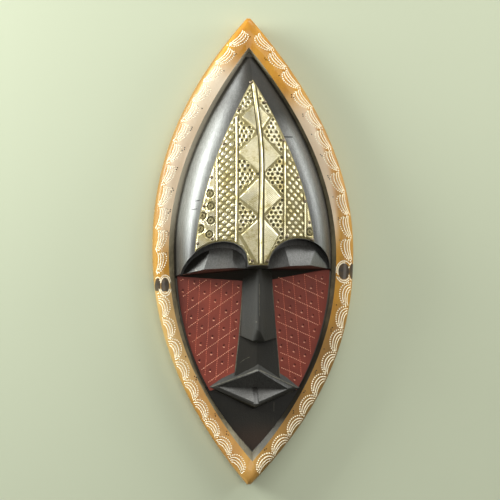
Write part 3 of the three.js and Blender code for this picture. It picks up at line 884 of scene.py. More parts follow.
def make_nose():
    block = Block(NOSE, FIELD, TOO_HIGH)
    block.chisel_through([NOSE_ROOT, NOSE_TIP, NOSE_LEFT_WING])
    block.chisel_through([NOSE_ROOT, NOSE_TIP, NOSE_RIGHT_WING])
    block.chisel(*NOSE_WEAR).ease(NOSE_EASE, 8, above=FIELD + 1)
    block.ease(RIDGE_EASE, 8, 36, lambda *ends: max(abs(p.x - 1) for p in ends) < 4)
    return block.solid("nose", "black")


def cheek_z(x, y):
    return CHEEK_NEAR_NOSE - CHEEK_FALL * abs(x) + CHEEK_CLIMB * (y + 20)


def make_cheek(side, steps=40):
    heights = np.linspace(CHEEK_TOP_Y, CHEEK_END_Y, steps + 1)
    outline = [(1, CHEEK_END_Y + 10), (1, CHEEK_TOP_Y)]
    outline += [(float(leaf_x(BEVEL_FOOT, side, y)) - side * CHEEK_INSET, y) for y in heights]
    face = [(x, y, cheek_z(x, y)) for x, y in ((side * 10, -20), (side * 50, -20), (side * 20, -90))]
    return Block(outline, FIELD - 6, TOO_HIGH).chisel_through(face).solid("cheek", "red")


def make_chin(steps=30):
    end_y = -BEVEL_FOOT["half_length"]
    heights = np.linspace(CHIN_TOP_Y, end_y, steps + 1)
    left = [(float(leaf_x(BEVEL_FOOT, -1, y)) - CHIN_OVERLAP, y) for y in heights]
    right = [(float(leaf_x(BEVEL_FOOT, 1, y)) + CHIN_OVERLAP, y) for y in heights[::-1]]
    face = [(-30, -106, CHIN_TOP_Z), (30, -106, CHIN_TOP_Z), (0, end_y, CHIN_END_Z)]
    return Block(left + right, FIELD - 6, TOO_HIGH).chisel_through(face).solid("chin", "black")


for form in (make_cheek(-1), make_cheek(1), make_chin(), make_pillar()):
    join(wood, form)
print("with cheeks, chin and pillar:", len(wood.data.polygons), "faces")

# %% [markdown]
# ## The mouth
#
# The mouth is a raised lozenge with a sunken one in it. Two strokes shape each of its four sides: a
# steep bevel outside and a long one up to the crest. The sunken lozenge has four facets that fall to
# its middle, and a notch runs down the lower lip.

# %% The mouth
MOUTH_CORNERS = [(-33.6, -104.2, 19.2), (2, -90.6, 29.5), (34, -105.4, 19.2), (-0.4, -118.6, 28.5)]
MOUTH_BLOCK = [(-34.6, -104), (2, -78), (35, -105.2), (-0.4, -122)]
BEVEL_UP, BEVEL_DOWN = (0, 4.4, -3), (0, -1.6, -8)
LIP_CREST = (1.8, -104.5, 31.5)
HOLLOW_LIPS = [(-28.2, -103.4, 20.8), (2, -91.2, 29.6), (25, -105.8, 22.2), (1, -115.2, 28.6)]
HOLLOW_DEEP = (0.7, -105.2, 19.5)
NOTCH = [(-1.3, -116.4), (2.5, -116.4), (2.5, -104.4), (-1.3, -104.4)]
NOTCH_FLOOR = [(0, -105.2, 18.2), (1, -105.2, 18.2), (0, -115.2, 26.6)]
LIP_EASE = 0.45


def make_mouth():
    block = Block(MOUTH_BLOCK, FIELD - 6, TOO_HIGH)
    for i, corner in enumerate(MOUTH_CORNERS):
        after = MOUTH_CORNERS[(i + 1) % 4]
        slide = BEVEL_UP if i < 2 else BEVEL_DOWN
        beside = tuple(a + b for a, b in zip(corner, slide))
        block.chisel_through([corner, after, beside], (0, math.copysign(1, slide[1]), 0.3))
        block.chisel_through([corner, after, LIP_CREST])
    return block.ease(LIP_EASE, 8, above=FIELD + 1).solid("mouth", "black")


def make_mouth_hollow():
    deep = Vector(HOLLOW_DEEP)
    raised = [((Vector(p) - deep) * 1.5 + deep) * MM for p in HOLLOW_LIPS]
    mesh = bpy.data.meshes.new("mouth_hollow")
    faces = [(0, 1, 4), (1, 2, 4), (2, 3, 4), (3, 0, 4), (3, 2, 1, 0)]
    mesh.from_pydata(raised + [deep * MM], [], faces)
    make_outward(mesh)
    return as_object("mouth_hollow", mesh, "black")


def make_notch():
    return Block(NOTCH, FIELD, TOO_HIGH).chisel_through(NOTCH_FLOOR, (0, 0, -1)).solid("notch", "black")


join(wood, make_mouth())
join(wood, make_nose())
join(wood, forehead)
join(wood, make_mouth_hollow(), "DIFFERENCE")
join(wood, make_notch(), "DIFFERENCE")
print("the whole face:", len(wood.data.polygons), "faces")

# %% [markdown]
# ## The hollowed back
#
# Such a mask is gouged out behind so that it is light and doesn't split. The hollow is a skin over
# shrinking leaf-shaped rings. Gouge marks are shallow scoops side by side, and the distance to the
# nearest of a set of scattered points has just that shape.

# %% The hollowed back
HOLLOW = [(0.95, 0.95, 0, -1), (0.93, 0.93, 0, 2), (0.8, 0.82, 2, 5), (0.62, 0.6, 16, 9),
          (0.46, 0.42, 34, 15), (0.3, 0.26, 46, 20), (0.12, 0.1, 50, 22.5)]
GOUGE_MARK = (9.0, 16.0)
GOUGE_DEPTH = 0.7


def make_hollow():
    rings = []
    for wide, tall, shift, z in smooth_curve(HOLLOW, 5):
        ring = leaf_ring(BEVEL_FOOT, z, 70) * (wide, tall, 1) + (0, shift, 0)
        for point in ring:
            spot = Vector((point[0] / GOUGE_MARK[0], point[1] / GOUGE_MARK[1], 0))
            nearest = noise.voronoi(spot)[0][0]
            point[2] -= GOUGE_DEPTH * min(nearest, 1.0) * min(1.0, max(0.0, (z - 2) / 3))
        rings.append(ring)
    return skin("hollow", rings, ["bare"])


join(wood, make_hollow(), "DIFFERENCE")
print("with the back hollowed:", len(wood.data.polygons), "faces")

# %% [markdown]
# ## Geometry Nodes that press tool marks
#
# The rim and the cheeks carry thousands of small tool marks. A Geometry Nodes tree makes them:
# it drops a point for each mark onto the wood, turns a small tool to the surface and to the mark's
# heading, and gives back one mesh of cutters, which is then taken out of the wood. The marks are real
# dents, so they catch light in every view.

# %% Geometry Nodes that press tool marks


class Growth(Tree):
    """A Geometry Nodes tree with named inputs, run once on a mesh of points."""

    def __init__(self, name, inputs):
        self.group = bpy.data.node_groups.new(name, "GeometryNodeTree")
        super().__init__(self.group)
        for label, kind in {"Geometry": "Geometry", **inputs}.items():
            self.group.interface.new_socket(label, in_out="INPUT", socket_type="NodeSocket" + kind)
        self.group.interface.new_socket("Geometry", in_out="OUTPUT", socket_type="NodeSocketGeometry")
        self.given = self.tree.nodes.new("NodeGroupInput").outputs

    def named(self, label):
        """A vector that every point carries, such as its heading."""
        settings = {"data_type": "FLOAT_VECTOR"}
        return self.node("GeometryNodeInputNamedAttribute", settings, {"Name": label}, "Attribute")

    def mesh_of(self, label):
        """The geometry of an object that the tree is given."""
        as_it_is = {"transform_space": "ORIGINAL"}
        return self.node("GeometryNodeObjectInfo", as_it_is, {"Object": self.given[label]}, "Geometry")

    def end(self, geometry, paint):
        """Ends the tree: real geometry with its material."""
        real = self.node("GeometryNodeRealizeInstances", None, {"Geometry": geometry})
        painted = self.node("GeometryNodeSetMaterial", None, {"Geometry": real, "Material": paint})
        self.tree.links.new(painted, self.tree.nodes.new("NodeGroupOutput").inputs[0])

    def run(self, points, **values):
        """Grows the tree on an object of points and leaves a plain mesh."""
        modifier = points.modifiers.new(self.group.name, "NODES")
        modifier.node_group = self.group
        for item in self.group.interface.items_tree:
            if item.in_out == "INPUT" and item.name in values:
                modifier[item.identifier] = values[item.name]
        return settle(points)


def point_cloud(name, places, **vectors):
    """An object of loose points, each with its own vectors such as a size or a heading."""
    mesh = bpy.data.meshes.new(name)
    mesh.from_pydata((np.array(places, float) * MM).tolist(), [], [])
    for label, rows in vectors.items():
        layer = mesh.attributes.new(label, "FLOAT_VECTOR", "POINT")
        layer.data.foreach_set("vector", np.array(rows, float).ravel())
    return as_object(name, mesh)


print("a growth tree takes named inputs and runs once")

# %% [markdown]
# ## The tree and its two tools
#
# A ray from above finds where each mark lands and how the surface lies there. Two small closed tools
# are enough: a boat-shaped gouge for dashes and dots, and a round punch for pits. They have few faces,
# because they are used a thousand times.

# %% The tree and its two tools
RAY_LENGTH = 200
PUNCH_LEVELS = ((0.5, 1.2), (0.5, 0), (0.3, -0.75))


def stamp_tree():
    tree = Growth("press_tool_marks", {"Surface": "Object", "Tool": "Object", "Paint": "Material"})
    surface, tool = tree.mesh_of("Surface"), tree.mesh_of("Tool")
    down = {"Target Geometry": surface, "Ray Direction": (0, 0, -1), "Ray Length": RAY_LENGTH * MM}
    hit = tree.node("GeometryNodeRaycast", None, down, "Is Hit").node.outputs
    kept = tree.node(
        "GeometryNodeSeparateGeometry", None,
        {"Geometry": tree.given["Geometry"], "Selection": hit["Is Hit"]}, "Selection")
    facing = tree.node(
        "GeometryNodeStoreNamedAttribute", {"data_type": "FLOAT_VECTOR"},
        {"Geometry": kept, "Name": "upright", "Value": hit["Hit Normal"]})
    landed = tree.node("GeometryNodeSetPosition", None, {"Geometry": facing, "Position": hit["Hit Position"]})
    turn = tree.node(
        "FunctionNodeAxesToRotation", {"primary_axis": "Z", "secondary_axis": "X"},
        {"Primary Axis": tree.named("upright"), "Secondary Axis": tree.named("heading")})
    marks = tree.node("GeometryNodeInstanceOnPoints", None, {
        "Points": landed, "Instance": tool, "Rotation": turn, "Scale": tree.named("size")})
    tree.end(marks, tree.given["Paint"])
    return tree


def make_tool(name, rings, bottom):
    """A small closed tool: rings of points from above the surface down, and its lowest points."""
    size = len(rings[0])
    points = [p for ring in rings for p in ring] + bottom
    faces = [list(range(size))]
    for r in range(len(rings) - 1):
        for i in range(size):
            j = (i + 1) % size
            faces.append([r * size + i, (r + 1) * size + i, (r + 1) * size + j, r * size + j])
    last = (len(rings) - 1) * size
    for i in range(size):
        j = (i + 1) % size
        near = [min(range(len(bottom)), key=lambda b: (bottom[b][0] - rings[-1][k][0]) ** 2) for k in (i, j)]
        face = [last + i] + [len(points) - len(bottom) + b for b in dict.fromkeys(near)] + [last + j]
        faces.append(face)
    mesh = bpy.data.meshes.new(name)
    mesh.from_pydata((np.array(points) * MM).tolist(), [], faces)
    make_outward(mesh)
    return as_object(name, mesh)


def make_gouge():
    """A boat-shaped cutter one millimetre long, wide and deep, to be scaled."""
    plan = [(0.5, 0.0), (0.28, 0.5), (-0.28, 0.5), (-0.5, 0.0), (-0.28, -0.5), (0.28, -0.5)]
    rings = [[(x, y, z) for x, y in plan] for z in (1.2, 0.0)]
    return make_tool("gouge", rings, [(0.26, 0.0, -1.0), (-0.26, 0.0, -1.0)])


def make_punch(sides=9):
    turns = [2 * math.pi * i / sides for i in range(sides)]
    rings = [[(r * math.cos(a), r * math.sin(a), z) for a in turns] for r, z in PUNCH_LEVELS]
    return make_tool("punch", rings, [(0.0, 0.0, -1.0)])


stamps = stamp_tree()
gouge = make_gouge()
punch = make_punch()
print("tools:", gouge.name, len(gouge.data.polygons), "faces;", punch.name, len(punch.data.polygons), "faces")

# %% [markdown]
# ## Where the marks go
#
# A mark is a place, a heading and a size. Rows of marks are strokes along a curve, so one helper
# walks any curve with a pitch. Marks that would run into each other are dropped, as a carver leaves
# them out where the lines crowd together.

# %% Where the marks go
DROP_FROM = 90


class Marks:
    """A list of tool marks, each kept clear of the others."""

    def __init__(self, clearance):
        self.clearance = clearance
        self.taken = {}
        self.places = []
        self.headings = []
        self.sizes = []

    def is_clear(self, spots):
        for x, y in spots:
            cell = (int(x // self.clearance), int(y // self.clearance))
            for i in (-1, 0, 1):
                for j in (-1, 0, 1):
                    for other in self.taken.get((cell[0] + i, cell[1] + j), []):
                        if math.hypot(x - other[0], y - other[1]) < self.clearance:
                            return False
        return True

    def add(self, x, y, heading, size):
        ux, uy = heading
        spots = [(x + k * size[0] * ux, y + k * size[0] * uy) for k in (-0.3, 0, 0.3)]
        if self.is_clear(spots):
            for spot in spots:
                cell = (int(spot[0] // self.clearance), int(spot[1] // self.clearance))
                self.taken.setdefault(cell, []).append(spot)
            self.places.append((x, y, DROP_FROM))
            self.headings.append((ux, uy, 0))
            self.sizes.append(size)

    def along(self, curve, pitch, size, start=0.5):
        """Marks along a curve, given as a dense list of points."""
        if len(curve) < 4:
            return
        curve = np.array(curve, float)
        steps = np.hypot(*np.diff(curve, axis=0).T)
        walked = np.concatenate([[0], np.cumsum(steps)])
        for at in np.arange(start * pitch, walked[-1] - 0.35 * size[0], pitch):
            x, y = (np.interp(at, walked, curve[:, k]) for k in (0, 1))
            ahead = [np.interp(at + 0.3, walked, curve[:, k]) for k in (0, 1)]
            behind = [np.interp(at - 0.3, walked, curve[:, k]) for k in (0, 1)]
            heading = np.array(ahead) - behind
            self.add(x, y, heading / max(np.hypot(*heading), 1e-9), size)

    def cut(self, solid, tool, paint):
        """Presses every mark into a solid."""
        cloud = point_cloud("marks", self.places, heading=self.headings, size=self.sizes)
        stamps.run(cloud, Surface=solid, Tool=tool, Paint=PAINTS[paint])
        return join(solid, cloud, "DIFFERENCE")


print("marks are dropped from", DROP_FROM, "mm")

# %% [markdown]
# ## The rim's shells
#
# Each shell is a nest of arcs cut with a small gouge, one shell after another from the tip down to
# the black ovals, and again below them. The largest arc is a row of dots, and the inner ones are lines.
# Short arcs also follow the ovals. The marks could be placed one by one, but on the rim a place is just
# how far along the edge it lies and how far in from it, so a rule draws them all.

# %% The rim's shells
SHELL_ROWS = [
    {"side": -1, "from_y": 172.6, "to_y": -18.0, "count": 12, "ends": (0.78, 0.12),
     "arcs": [9.6, 7.4, 5.5, 3.9], "fan": 0, "skew": 1},
    {"side": -1, "from_y": -34.4, "to_y": -172.5, "count": 9, "ends": (0.1, 0.3),
     "arcs": [9.6, 7.2, 5.2, 3.4], "fan": 0.09, "skew": 0.8},
    {"side": 1, "from_y": 170.0, "to_y": -8.0, "count": 11, "ends": (0.62, 0.2),
     "arcs": [9.6, 7.2, 5.2, 3.5], "fan": 0, "skew": 0.9},
    {"side": 1, "from_y": -24.6, "to_y": -172.5, "count": 9, "ends": (0.1, 0.32),
     "arcs": [9.8, 7.4, 5.3, 3.5], "fan": 0.09, "skew": 0.8},
]
DOT = {"pitch": 1.75, "size": (1.25, 1.05, 0.5)}
DASH = {"pitch": 2.5, "size": (1.8, 0.8, 0.4)}
SHELL_FILL = 0.96
SHELL_PIT = (1.0, 1.0, 0.8)
SHELL_PIT_REACH = 11.2
OVAL_ARCS = [
    {"oval": 0, "grow": (0.7, 0.6), "turn": (15, 165)}, {"oval": 0, "grow": (1.7, 2.1), "turn": (20, 160)},
    {"oval": 0, "grow": (0.6, -0.6), "turn": (200, 340)}, {"oval": 0, "grow": (1.7, 1.3), "turn": (195, 345)},
    {"oval": 1, "grow": (0.8, 0.7), "turn": (30, 150)}, {"oval": 1, "grow": (0.7, -0.4), "turn": (205, 320)},
    {"oval": 2, "grow": (0.5, 0.5), "turn": (75, 205)}, {"oval": 2, "grow": (1.7, 1.9), "turn": (40, 190)},
    {"oval": 2, "grow": (0.8, 0.9), "turn": (215, 330)}, {"oval": 2, "grow": (2.0, 2.4), "turn": (205, 320)},
    {"oval": 3, "grow": (0.7, 0.8), "turn": (90, 160)}, {"oval": 3, "grow": (0.7, 0.9), "turn": (200, 270)},
]


class RimWalk:
    """The outline of one side, walked from the upper tip to the lower one."""

    def __init__(self, side):
        self.side = side
        self.y = np.linspace(OUTLINE["half_length"] - 0.01, -OUTLINE["half_length"] + 0.01, 2400)
        self.x = leaf_x(OUTLINE, side, self.y)
        self.walked = np.concatenate([[0], np.cumsum(np.hypot(np.diff(self.x), np.diff(self.y)))])

    def at_height(self, y):
        return float(np.interp(-y, -self.y, self.walked))

    def place(self, along, inwards):
        """The point that lies `along` the edge and `inwards` from it."""
        x, y = (np.interp(along, self.walked, values) for values in (self.x, self.y))
        dx, dy = (np.interp(along + 0.5, self.walked, v) - np.interp(along - 0.5, self.walked, v)
                  for v in (self.x, self.y))
        length = math.hypot(dx, dy)
        return x + self.side * dy / length * inwards, y - self.side * dx / length * inwards


def shell_arc(walk, start, length, reach, row, steps=40):
    """One arc of a shell: out from the edge and back to it. A skewed one swings out early."""
    points = []
    upper, lower = row["ends"]
    for i in range(steps + 1):
        share = (1 - math.cos(math.pi * i / steps)) / 2
        foot = upper + (lower - upper) * share
        swing = math.sin(math.pi * (i / steps) ** row["skew"])
        inwards = reach * (foot + (1 - (upper + lower) / 2) * swing)
        points.append(walk.place(start + length * share, max(inwards, 1.0)))
    return points


def oval_arc(arc, steps=30):
    """Part of an ellipse a little larger than one of the black ovals."""
    oval, (wider, taller) = OVALS[arc["oval"]], arc["grow"]
    turns = np.radians(np.linspace(*arc["turn"], steps))
    x = oval["x"] + (oval["wide"] + wider) * np.cos(turns)
    y = oval["y"] + (oval["tall"] + taller) * np.sin(turns)
    edge = leaf_x(OUTLINE, math.copysign(1, oval["x"]), y)
    return [(a, b) for a, b, limit in zip(x, y, edge) if abs(a) < abs(limit) - 0.9]


print("shells:", sum(row["count"] for row in SHELL_ROWS))

# %% [markdown]
# ## Cutting the rim
#
# The cuts of a line overlap, and cutters that run into each other spoil a Boolean. So every second cut
# belongs to a second go. Dots and lines go deeper than the paint and show fresh wood. Small pits stand
# where two shells meet, and they stay dark.

# %% Cutting the rim
CUT_CLEARANCE, BETWEEN_CLEARANCE = 0.86, 1.0
BETWEEN_STEP = 1.5


def rim_marks():
    """Two sets of cuts whose ends overlap, and the pits between the shells."""
    random = np.random.default_rng(7)
    first_go, second_go = Marks(CUT_CLEARANCE), Marks(CUT_CLEARANCE)
    between = Marks(BETWEEN_CLEARANCE)

    def draw(arc, size):
        first_go.along(arc, DASH["pitch"], size, 0.4)
        second_go.along(arc, DASH["pitch"], size, 0.9)

    for row in SHELL_ROWS:
        walk = RimWalk(row["side"])
        start, end = walk.at_height(row["from_y"]), walk.at_height(row["to_y"])
        pitch = (end - start) / row["count"]
        for i in range(row["count"]):
            first = start + pitch * i + random.uniform(-0.3, 0.3)
            grow = random.uniform(0.94, 1.04)
            for k, reach in enumerate(row["arcs"]):
                lag = pitch * row["fan"] * k
                arc = shell_arc(walk, first + lag, pitch * SHELL_FILL - lag, reach * grow, row)
                if k == 0:
                    size = tuple(s * random.uniform(0.92, 1.08) for s in DOT["size"])
                    first_go.along(arc, DOT["pitch"], size)
                else:
                    draw(arc, tuple(s * random.uniform(0.94, 1.06) for s in DASH["size"]))
            for step in range(random.integers(0, 4)):
                along = first + pitch * 0.02 + BETWEEN_STEP * step
                x, y = walk.place(along, SHELL_PIT_REACH + random.uniform(-0.8, 0.8))
                between.add(x, y, (1, 0), SHELL_PIT)
    for arc in OVAL_ARCS:
        draw(oval_arc(arc), DASH["size"])
    return first_go, second_go, between


first_go, second_go, between = rim_marks()
for cuts in (first_go, second_go):
    wood = cuts.cut(wood, gouge, "cut")
wood = between.cut(wood, punch, "black")
print("rim marks:", len(first_go.places) + len(second_go.places), "- faces now:", len(wood.data.polygons))

# %% [markdown]
# ## The cheeks' scored net
#
# The red cheeks are scored with two families of dotted lines, one nearly upright and one slanted,
# and a punch mark with a pale nick below it sits in every mesh of the net. The slants mirror each
# other from cheek to cheek. How much room a place has says where the net ends.

# %% The cheeks' scored net
NETS = [
    {"side": -1, "upright_x": -16.6, "upright_step": -8.35, "uprights": 5, "spread": -0.062,
     "slant": 0.72, "slant_y": -20.5, "slant_step": -13.3, "slants": 9,
     "top": ((-58.6, -18.9), (-10, -21.4))},
    {"side": 1, "upright_x": 21.0, "upright_step": 9.1, "uprights": 4, "spread": 0.085,
     "slant": -0.45, "slant_y": -21.0, "slant_step": -11.4, "slants": 9,
     "top": ((13.3, -18.6), (58.8, -13.7))},
]
PILLAR_EDGE_Y = (-24, -65, -99)
PILLAR_EDGE_X = {-1: (9.6, 12.5, 15.8), 1: (12.6, 16.8, 19.9)}
LIP_LINE = {-1: ((-34.6, -104), (-6, -86)), 1: ((9, -86), (35, -105.2))}
NET_TOP_Y = -19
NET_MARGIN, PIT_MARGIN = 1.5, 2.2
SCORE_WAVE_DEPTH, SCORE_WAVE_LENGTH = 0.25, 14
SCORE_CLEARANCE, NICK_CLEARANCE, PIT_CLEARANCE = 0.62, 0.6, 1.6
SCORE = {"pitch": 1.5, "size": (1.2, 0.6, 0.3)}
PIT = (1.8, 1.8, 0.7)
PIT_LIP = {"size": (1.9, 0.75, 0.34), "below": (-0.4, -1.2), "heading": (0.93, -0.37)}


def side_of(point, line):
    """How far a point lies to the left of a line, walking along it."""
    (x0, y0), (x1, y1) = line
    length = math.hypot(x1 - x0, y1 - y0)
    return ((x1 - x0) * (point[1] - y0) - (y1 - y0) * (point[0] - x0)) / length


def cheek_room(net, x, y):
    """How far a place on a cheek is from the nearest thing round it."""
    side = net["side"]
    inner = np.interp(-y, [-h for h in PILLAR_EDGE_Y], PILLAR_EDGE_X[side])
    outer = abs(float(leaf_x(BEVEL_FOOT, side, y))) - CHEEK_INSET
    below_top, above_lip = -side_of((x, y), net["top"]), side_of((x, y), LIP_LINE[side])
    return min(abs(x) - inner, outer - abs(x), below_top, above_lip, y - CHEEK_END_Y)


def net_line(net, points):
    """The stretch of a line that lies on the cheek."""
    return [p for p in points if cheek_room(net, *p) > NET_MARGIN]


def upright(net, i, y):
    return net["upright_x"] + net["upright_step"] * i + net["spread"] * (NET_TOP_Y - y)


def slanted(net, k, x):
    return net["slant_y"] + net["slant_step"] * k + net["slant"] * (x - net["upright_x"])


def score_wave(along, line, seed):
    """How far a scored line strays from straight."""
    return SCORE_WAVE_DEPTH * wobble(along, line, seed, SCORE_WAVE_LENGTH)


def net_marks():
    random = np.random.default_rng(3)
    lines, uprights = Marks(SCORE_CLEARANCE), Marks(SCORE_CLEARANCE)
    lips, pits = Marks(NICK_CLEARANCE), Marks(PIT_CLEARANCE)
    heights, distances = np.arange(-18, -104, -0.4), np.arange(9, 60, 0.4)
    for net in NETS:
        for i in range(net["uprights"]):
            course = [(upright(net, i, y) + score_wave(i, y, 5), y) for y in heights]
            uprights.along(net_line(net, course), SCORE["pitch"], SCORE["size"])
        for k in range(-4, net["slants"]):
            course = [(x, slanted(net, k, x) + score_wave(x, k, 9)) for x in net["side"] * distances]
            lines.along(net_line(net, course), SCORE["pitch"], SCORE["size"])
        for i in range(-1, net["uprights"]):
            for k in range(-4, net["slants"]):
                x = upright(net, i + 0.5, -55)
                y = slanted(net, k + 0.5, x)
                x = upright(net, i + 0.5, y) + random.uniform(-0.7, 0.7)
                y = y + random.uniform(-0.7, 0.7)
                if cheek_room(net, x, y) > PIT_MARGIN:
                    pits.add(x, y, (1, 0), tuple(s * random.uniform(0.85, 1.1) for s in PIT))
                    across, down = PIT_LIP["below"]
                    lips.add(x + across, y + down, PIT_LIP["heading"], PIT_LIP["size"])
    return lines, uprights, lips, pits


slants, uprights, lips, pits = net_marks()
wood = uprights.cut(wood, gouge, "faintly_scored")
for cuts in (slants, lips):
    wood = cuts.cut(wood, gouge, "scored")
wood = pits.cut(wood, punch, "pit")
print("cheek marks:", len(slants.places) + len(uprights.places), "and", len(pits.places), "pits")

# %% [markdown]
# ## The finished wood
#
# The wood is one body now, with every cut in it. Rounded forms are shaded smooth, and edges that turn
# sharply stay crisp. The piece then takes the place of its solid in the frame: one call hides that
# solid, and one says which body the piece moves with.

# %% The finished wood
WOOD_SHARP_TURN = 28
wood.name = "painted_wood"
wood.data.shade_smooth()
wood.data.set_sharp_from_angle(angle=math.radians(WOOD_SHARP_TURN))
for tool in (gouge, punch):
    bpy.data.objects.remove(tool)
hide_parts("carved_wood")
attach(wood, "root")
triangles = sum(len(face.vertices) - 2 for face in wood.data.polygons)
print("the wood:", len(wood.data.polygons), "faces,", triangles, "triangles")

# %% [markdown]
# ## The embossed sheet
#
# The brass is a thin sheet, laid face down on something soft and worked with punches, then nailed over
# the ridge. The pattern could be cut as solids, but it is shallow and dense, so it is written as a
# height map of distances: a lozenge is a distance to four lines, and a rib is a distance to one. The
# lines come first.

# %% The embossed sheet
BAND_BULGE, BAND_BULGE_Y, BAND_BULGE_SPREAD = 2.0, 75, 35
BAND_GROOVE, BAND_HALF = 1.75, 2.5
LOZENGE_WAISTS = [113.2, 90.6, 58.1, 26.5, -14.0]
LOZENGE_LEFT = [(-11.2, 102.4), (-14.4, 75.4), (-14.3, 40.7), (-13.0, 12.4)]
LOZENGE_RIGHT = [(10.7, 102.6), (17.8, 73.1), (18.1, 41.2), (15.6, 12.4)]
RIBS = [
    {"x": -15.8, "at_y": 46.4, "lean": 0.0205, "top": 103},
    {"x": 20.2, "at_y": 8.7, "lean": 0.0175, "top": 88},
    {"x": -30.7, "at_y": 16.2, "lean": 0.011, "top": 71},
    {"x": 36.6, "at_y": 12.5, "lean": 0.011, "top": 55},
]
EDGE_LEAN = 0.94


def ease(value, low, high):
    """Rises smoothly from 0 at low to 1 at high."""
    share = np.clip((value - low) / (high - low), 0, 1)
    return share * share * (3 - 2 * share)


def bell(distance, width):
    return np.exp(-(distance / width) ** 2)


def band_x(y):
    return ridge_x(y) + BAND_BULGE * np.exp(-((y - BAND_BULGE_Y) / BAND_BULGE_SPREAD) ** 2)


def rib_x(rib, y):
    return rib["x"] + rib["lean"] * (y - rib["at_y"])


def edge_room(x, y):
    """How far a place is from the sheet's outer edge."""
    off = x - ridge_x(y)
    return EDGE_LEAN * np.where(off < 0, plate_reach(y, -1) + off, plate_reach(y, 1) - off)


def beyond(x, y, start, end):
    """How far a place lies to the right of the line from start to end."""
    dx, dy = end[0] - start[0], end[1] - start[1]
    return ((x - start[0]) * dy - (y - start[1]) * dx) / math.hypot(dx, dy)


def lozenge_room(x, y):
    """How deep inside a lozenge a place is. Outside it is negative."""
    room = np.full(np.shape(x), -99.0)
    for i, (left, right) in enumerate(zip(LOZENGE_LEFT, LOZENGE_RIGHT)):
        top, bottom = LOZENGE_WAISTS[i], LOZENGE_WAISTS[i + 1]
        waist_top = (float(band_x(top)), top)
        waist_bottom = (float(band_x(bottom)), bottom)
        on_left = np.minimum(beyond(x, y, left, waist_top), beyond(x, y, waist_bottom, left))
        on_right = np.minimum(beyond(x, y, waist_top, right), beyond(x, y, right, waist_bottom))
        inside = np.minimum(on_left, on_right)
        room = np.maximum(room, inside)
    return room


def rib_room(x, y, ribs):
    """Distance to the nearest of some ribs, where they run."""
    room = np.full(np.shape(x), 99.0)
    for rib in ribs:
        above = np.maximum(0, y - rib["top"])
        room = np.minimum(room, np.hypot(x - rib_x(rib, y), above))
    return room


print("lozenges:", len(LOZENGE_LEFT), "and ribs:", len(RIBS))

# %% [markdown]
# ## The pattern as a height map
#
# Between the lines lie three fills: ringed pits in a staggered grid, bumps left between two families
# of slanted grooves, and a few ringed bosses near the edge. Each is a function of a place. One
# function lays them over each other, with a quiet strip beside every rib.

# %% The pattern as a height map
RELIEF = 0.7
MIDDLE_GROUND, OUTER_GROUND, NET_GROUND = 0.16, 0.32, 0.02
PIT_STEP, PIT_RADIUS = 3.75, 1.3
BOSSES = [
    (-35.4, 44.1), (-35.0, 34.4), (-41.0, 27.3), (-35.1, 23.4), (-42.7, 17.3), (-36.2, 12.8), (40.0, 14.8),
]
BOSS_RADIUS = 4.4


def in_middle(x, y):
    """Whether a place lies between the inner ribs, or above them."""
    return (x > rib_x(RIBS[0], y)) & (x < rib_x(RIBS[1], y)) | (y > 104) | (y > 90) & (x > 0)


def pit_room(x, y):
    """How much room there is for a pit between the lozenges, the ribs and the edge."""
    room = np.minimum(-lozenge_room(x, y) - 1.7, edge_room(x, y) - 1.3)
    room = np.minimum(room, rib_room(x, y, RIBS) - 1.4)
    room = np.minimum(room, np.abs(x - band_x(y)) - BAND_HALF)
    return np.where(in_middle(x, y), room, -1)


def staggered(x, y, step, shift, seed):
    """Distance to the nearest point of a staggered grid, and that point's place."""
    tall = step * 0.866
    row = np.round(y / tall)
    best = np.full(np.shape(x), 99.0)
    spot_x, spot_y = np.zeros(np.shape(x)), np.zeros(np.shape(x))
    for r in (-1, 0, 1):
        line = row + r
        lag = np.where(line % 2 == 0, 0, step / 2)
        for c in (-1, 0, 1):
            column = np.round((x - lag) / step) + c
            wave = np.sin(line * 12.9898 + column * 78.233 + seed) * 43758.5453
            tilt = np.sin(line * 39.346 + column * 11.135 + seed) * 24634.6345
            px = column * step + lag + (wave - np.floor(wave) - 0.5) * shift
            py = line * tall + (tilt - np.floor(tilt) - 0.5) * shift
            distance = np.hypot(x - px, y - py)
            nearer = distance < best
            best = np.where(nearer, distance, best)
            spot_x, spot_y = np.where(nearer, px, spot_x), np.where(nearer, py, spot_y)
    return best, spot_x, spot_y


def crossed_grooves(x, y, slope_a, slope_b, period, narrow):
    """Bumps left between two families of slanted grooves. `narrow` says how small the bumps are."""
    first = np.abs(np.sin(math.pi * (y - slope_a * x) / period))
    second = np.abs(np.sin(math.pi * (y - slope_b * x) / period))
    return ease(first * second, narrow, narrow + 0.6)


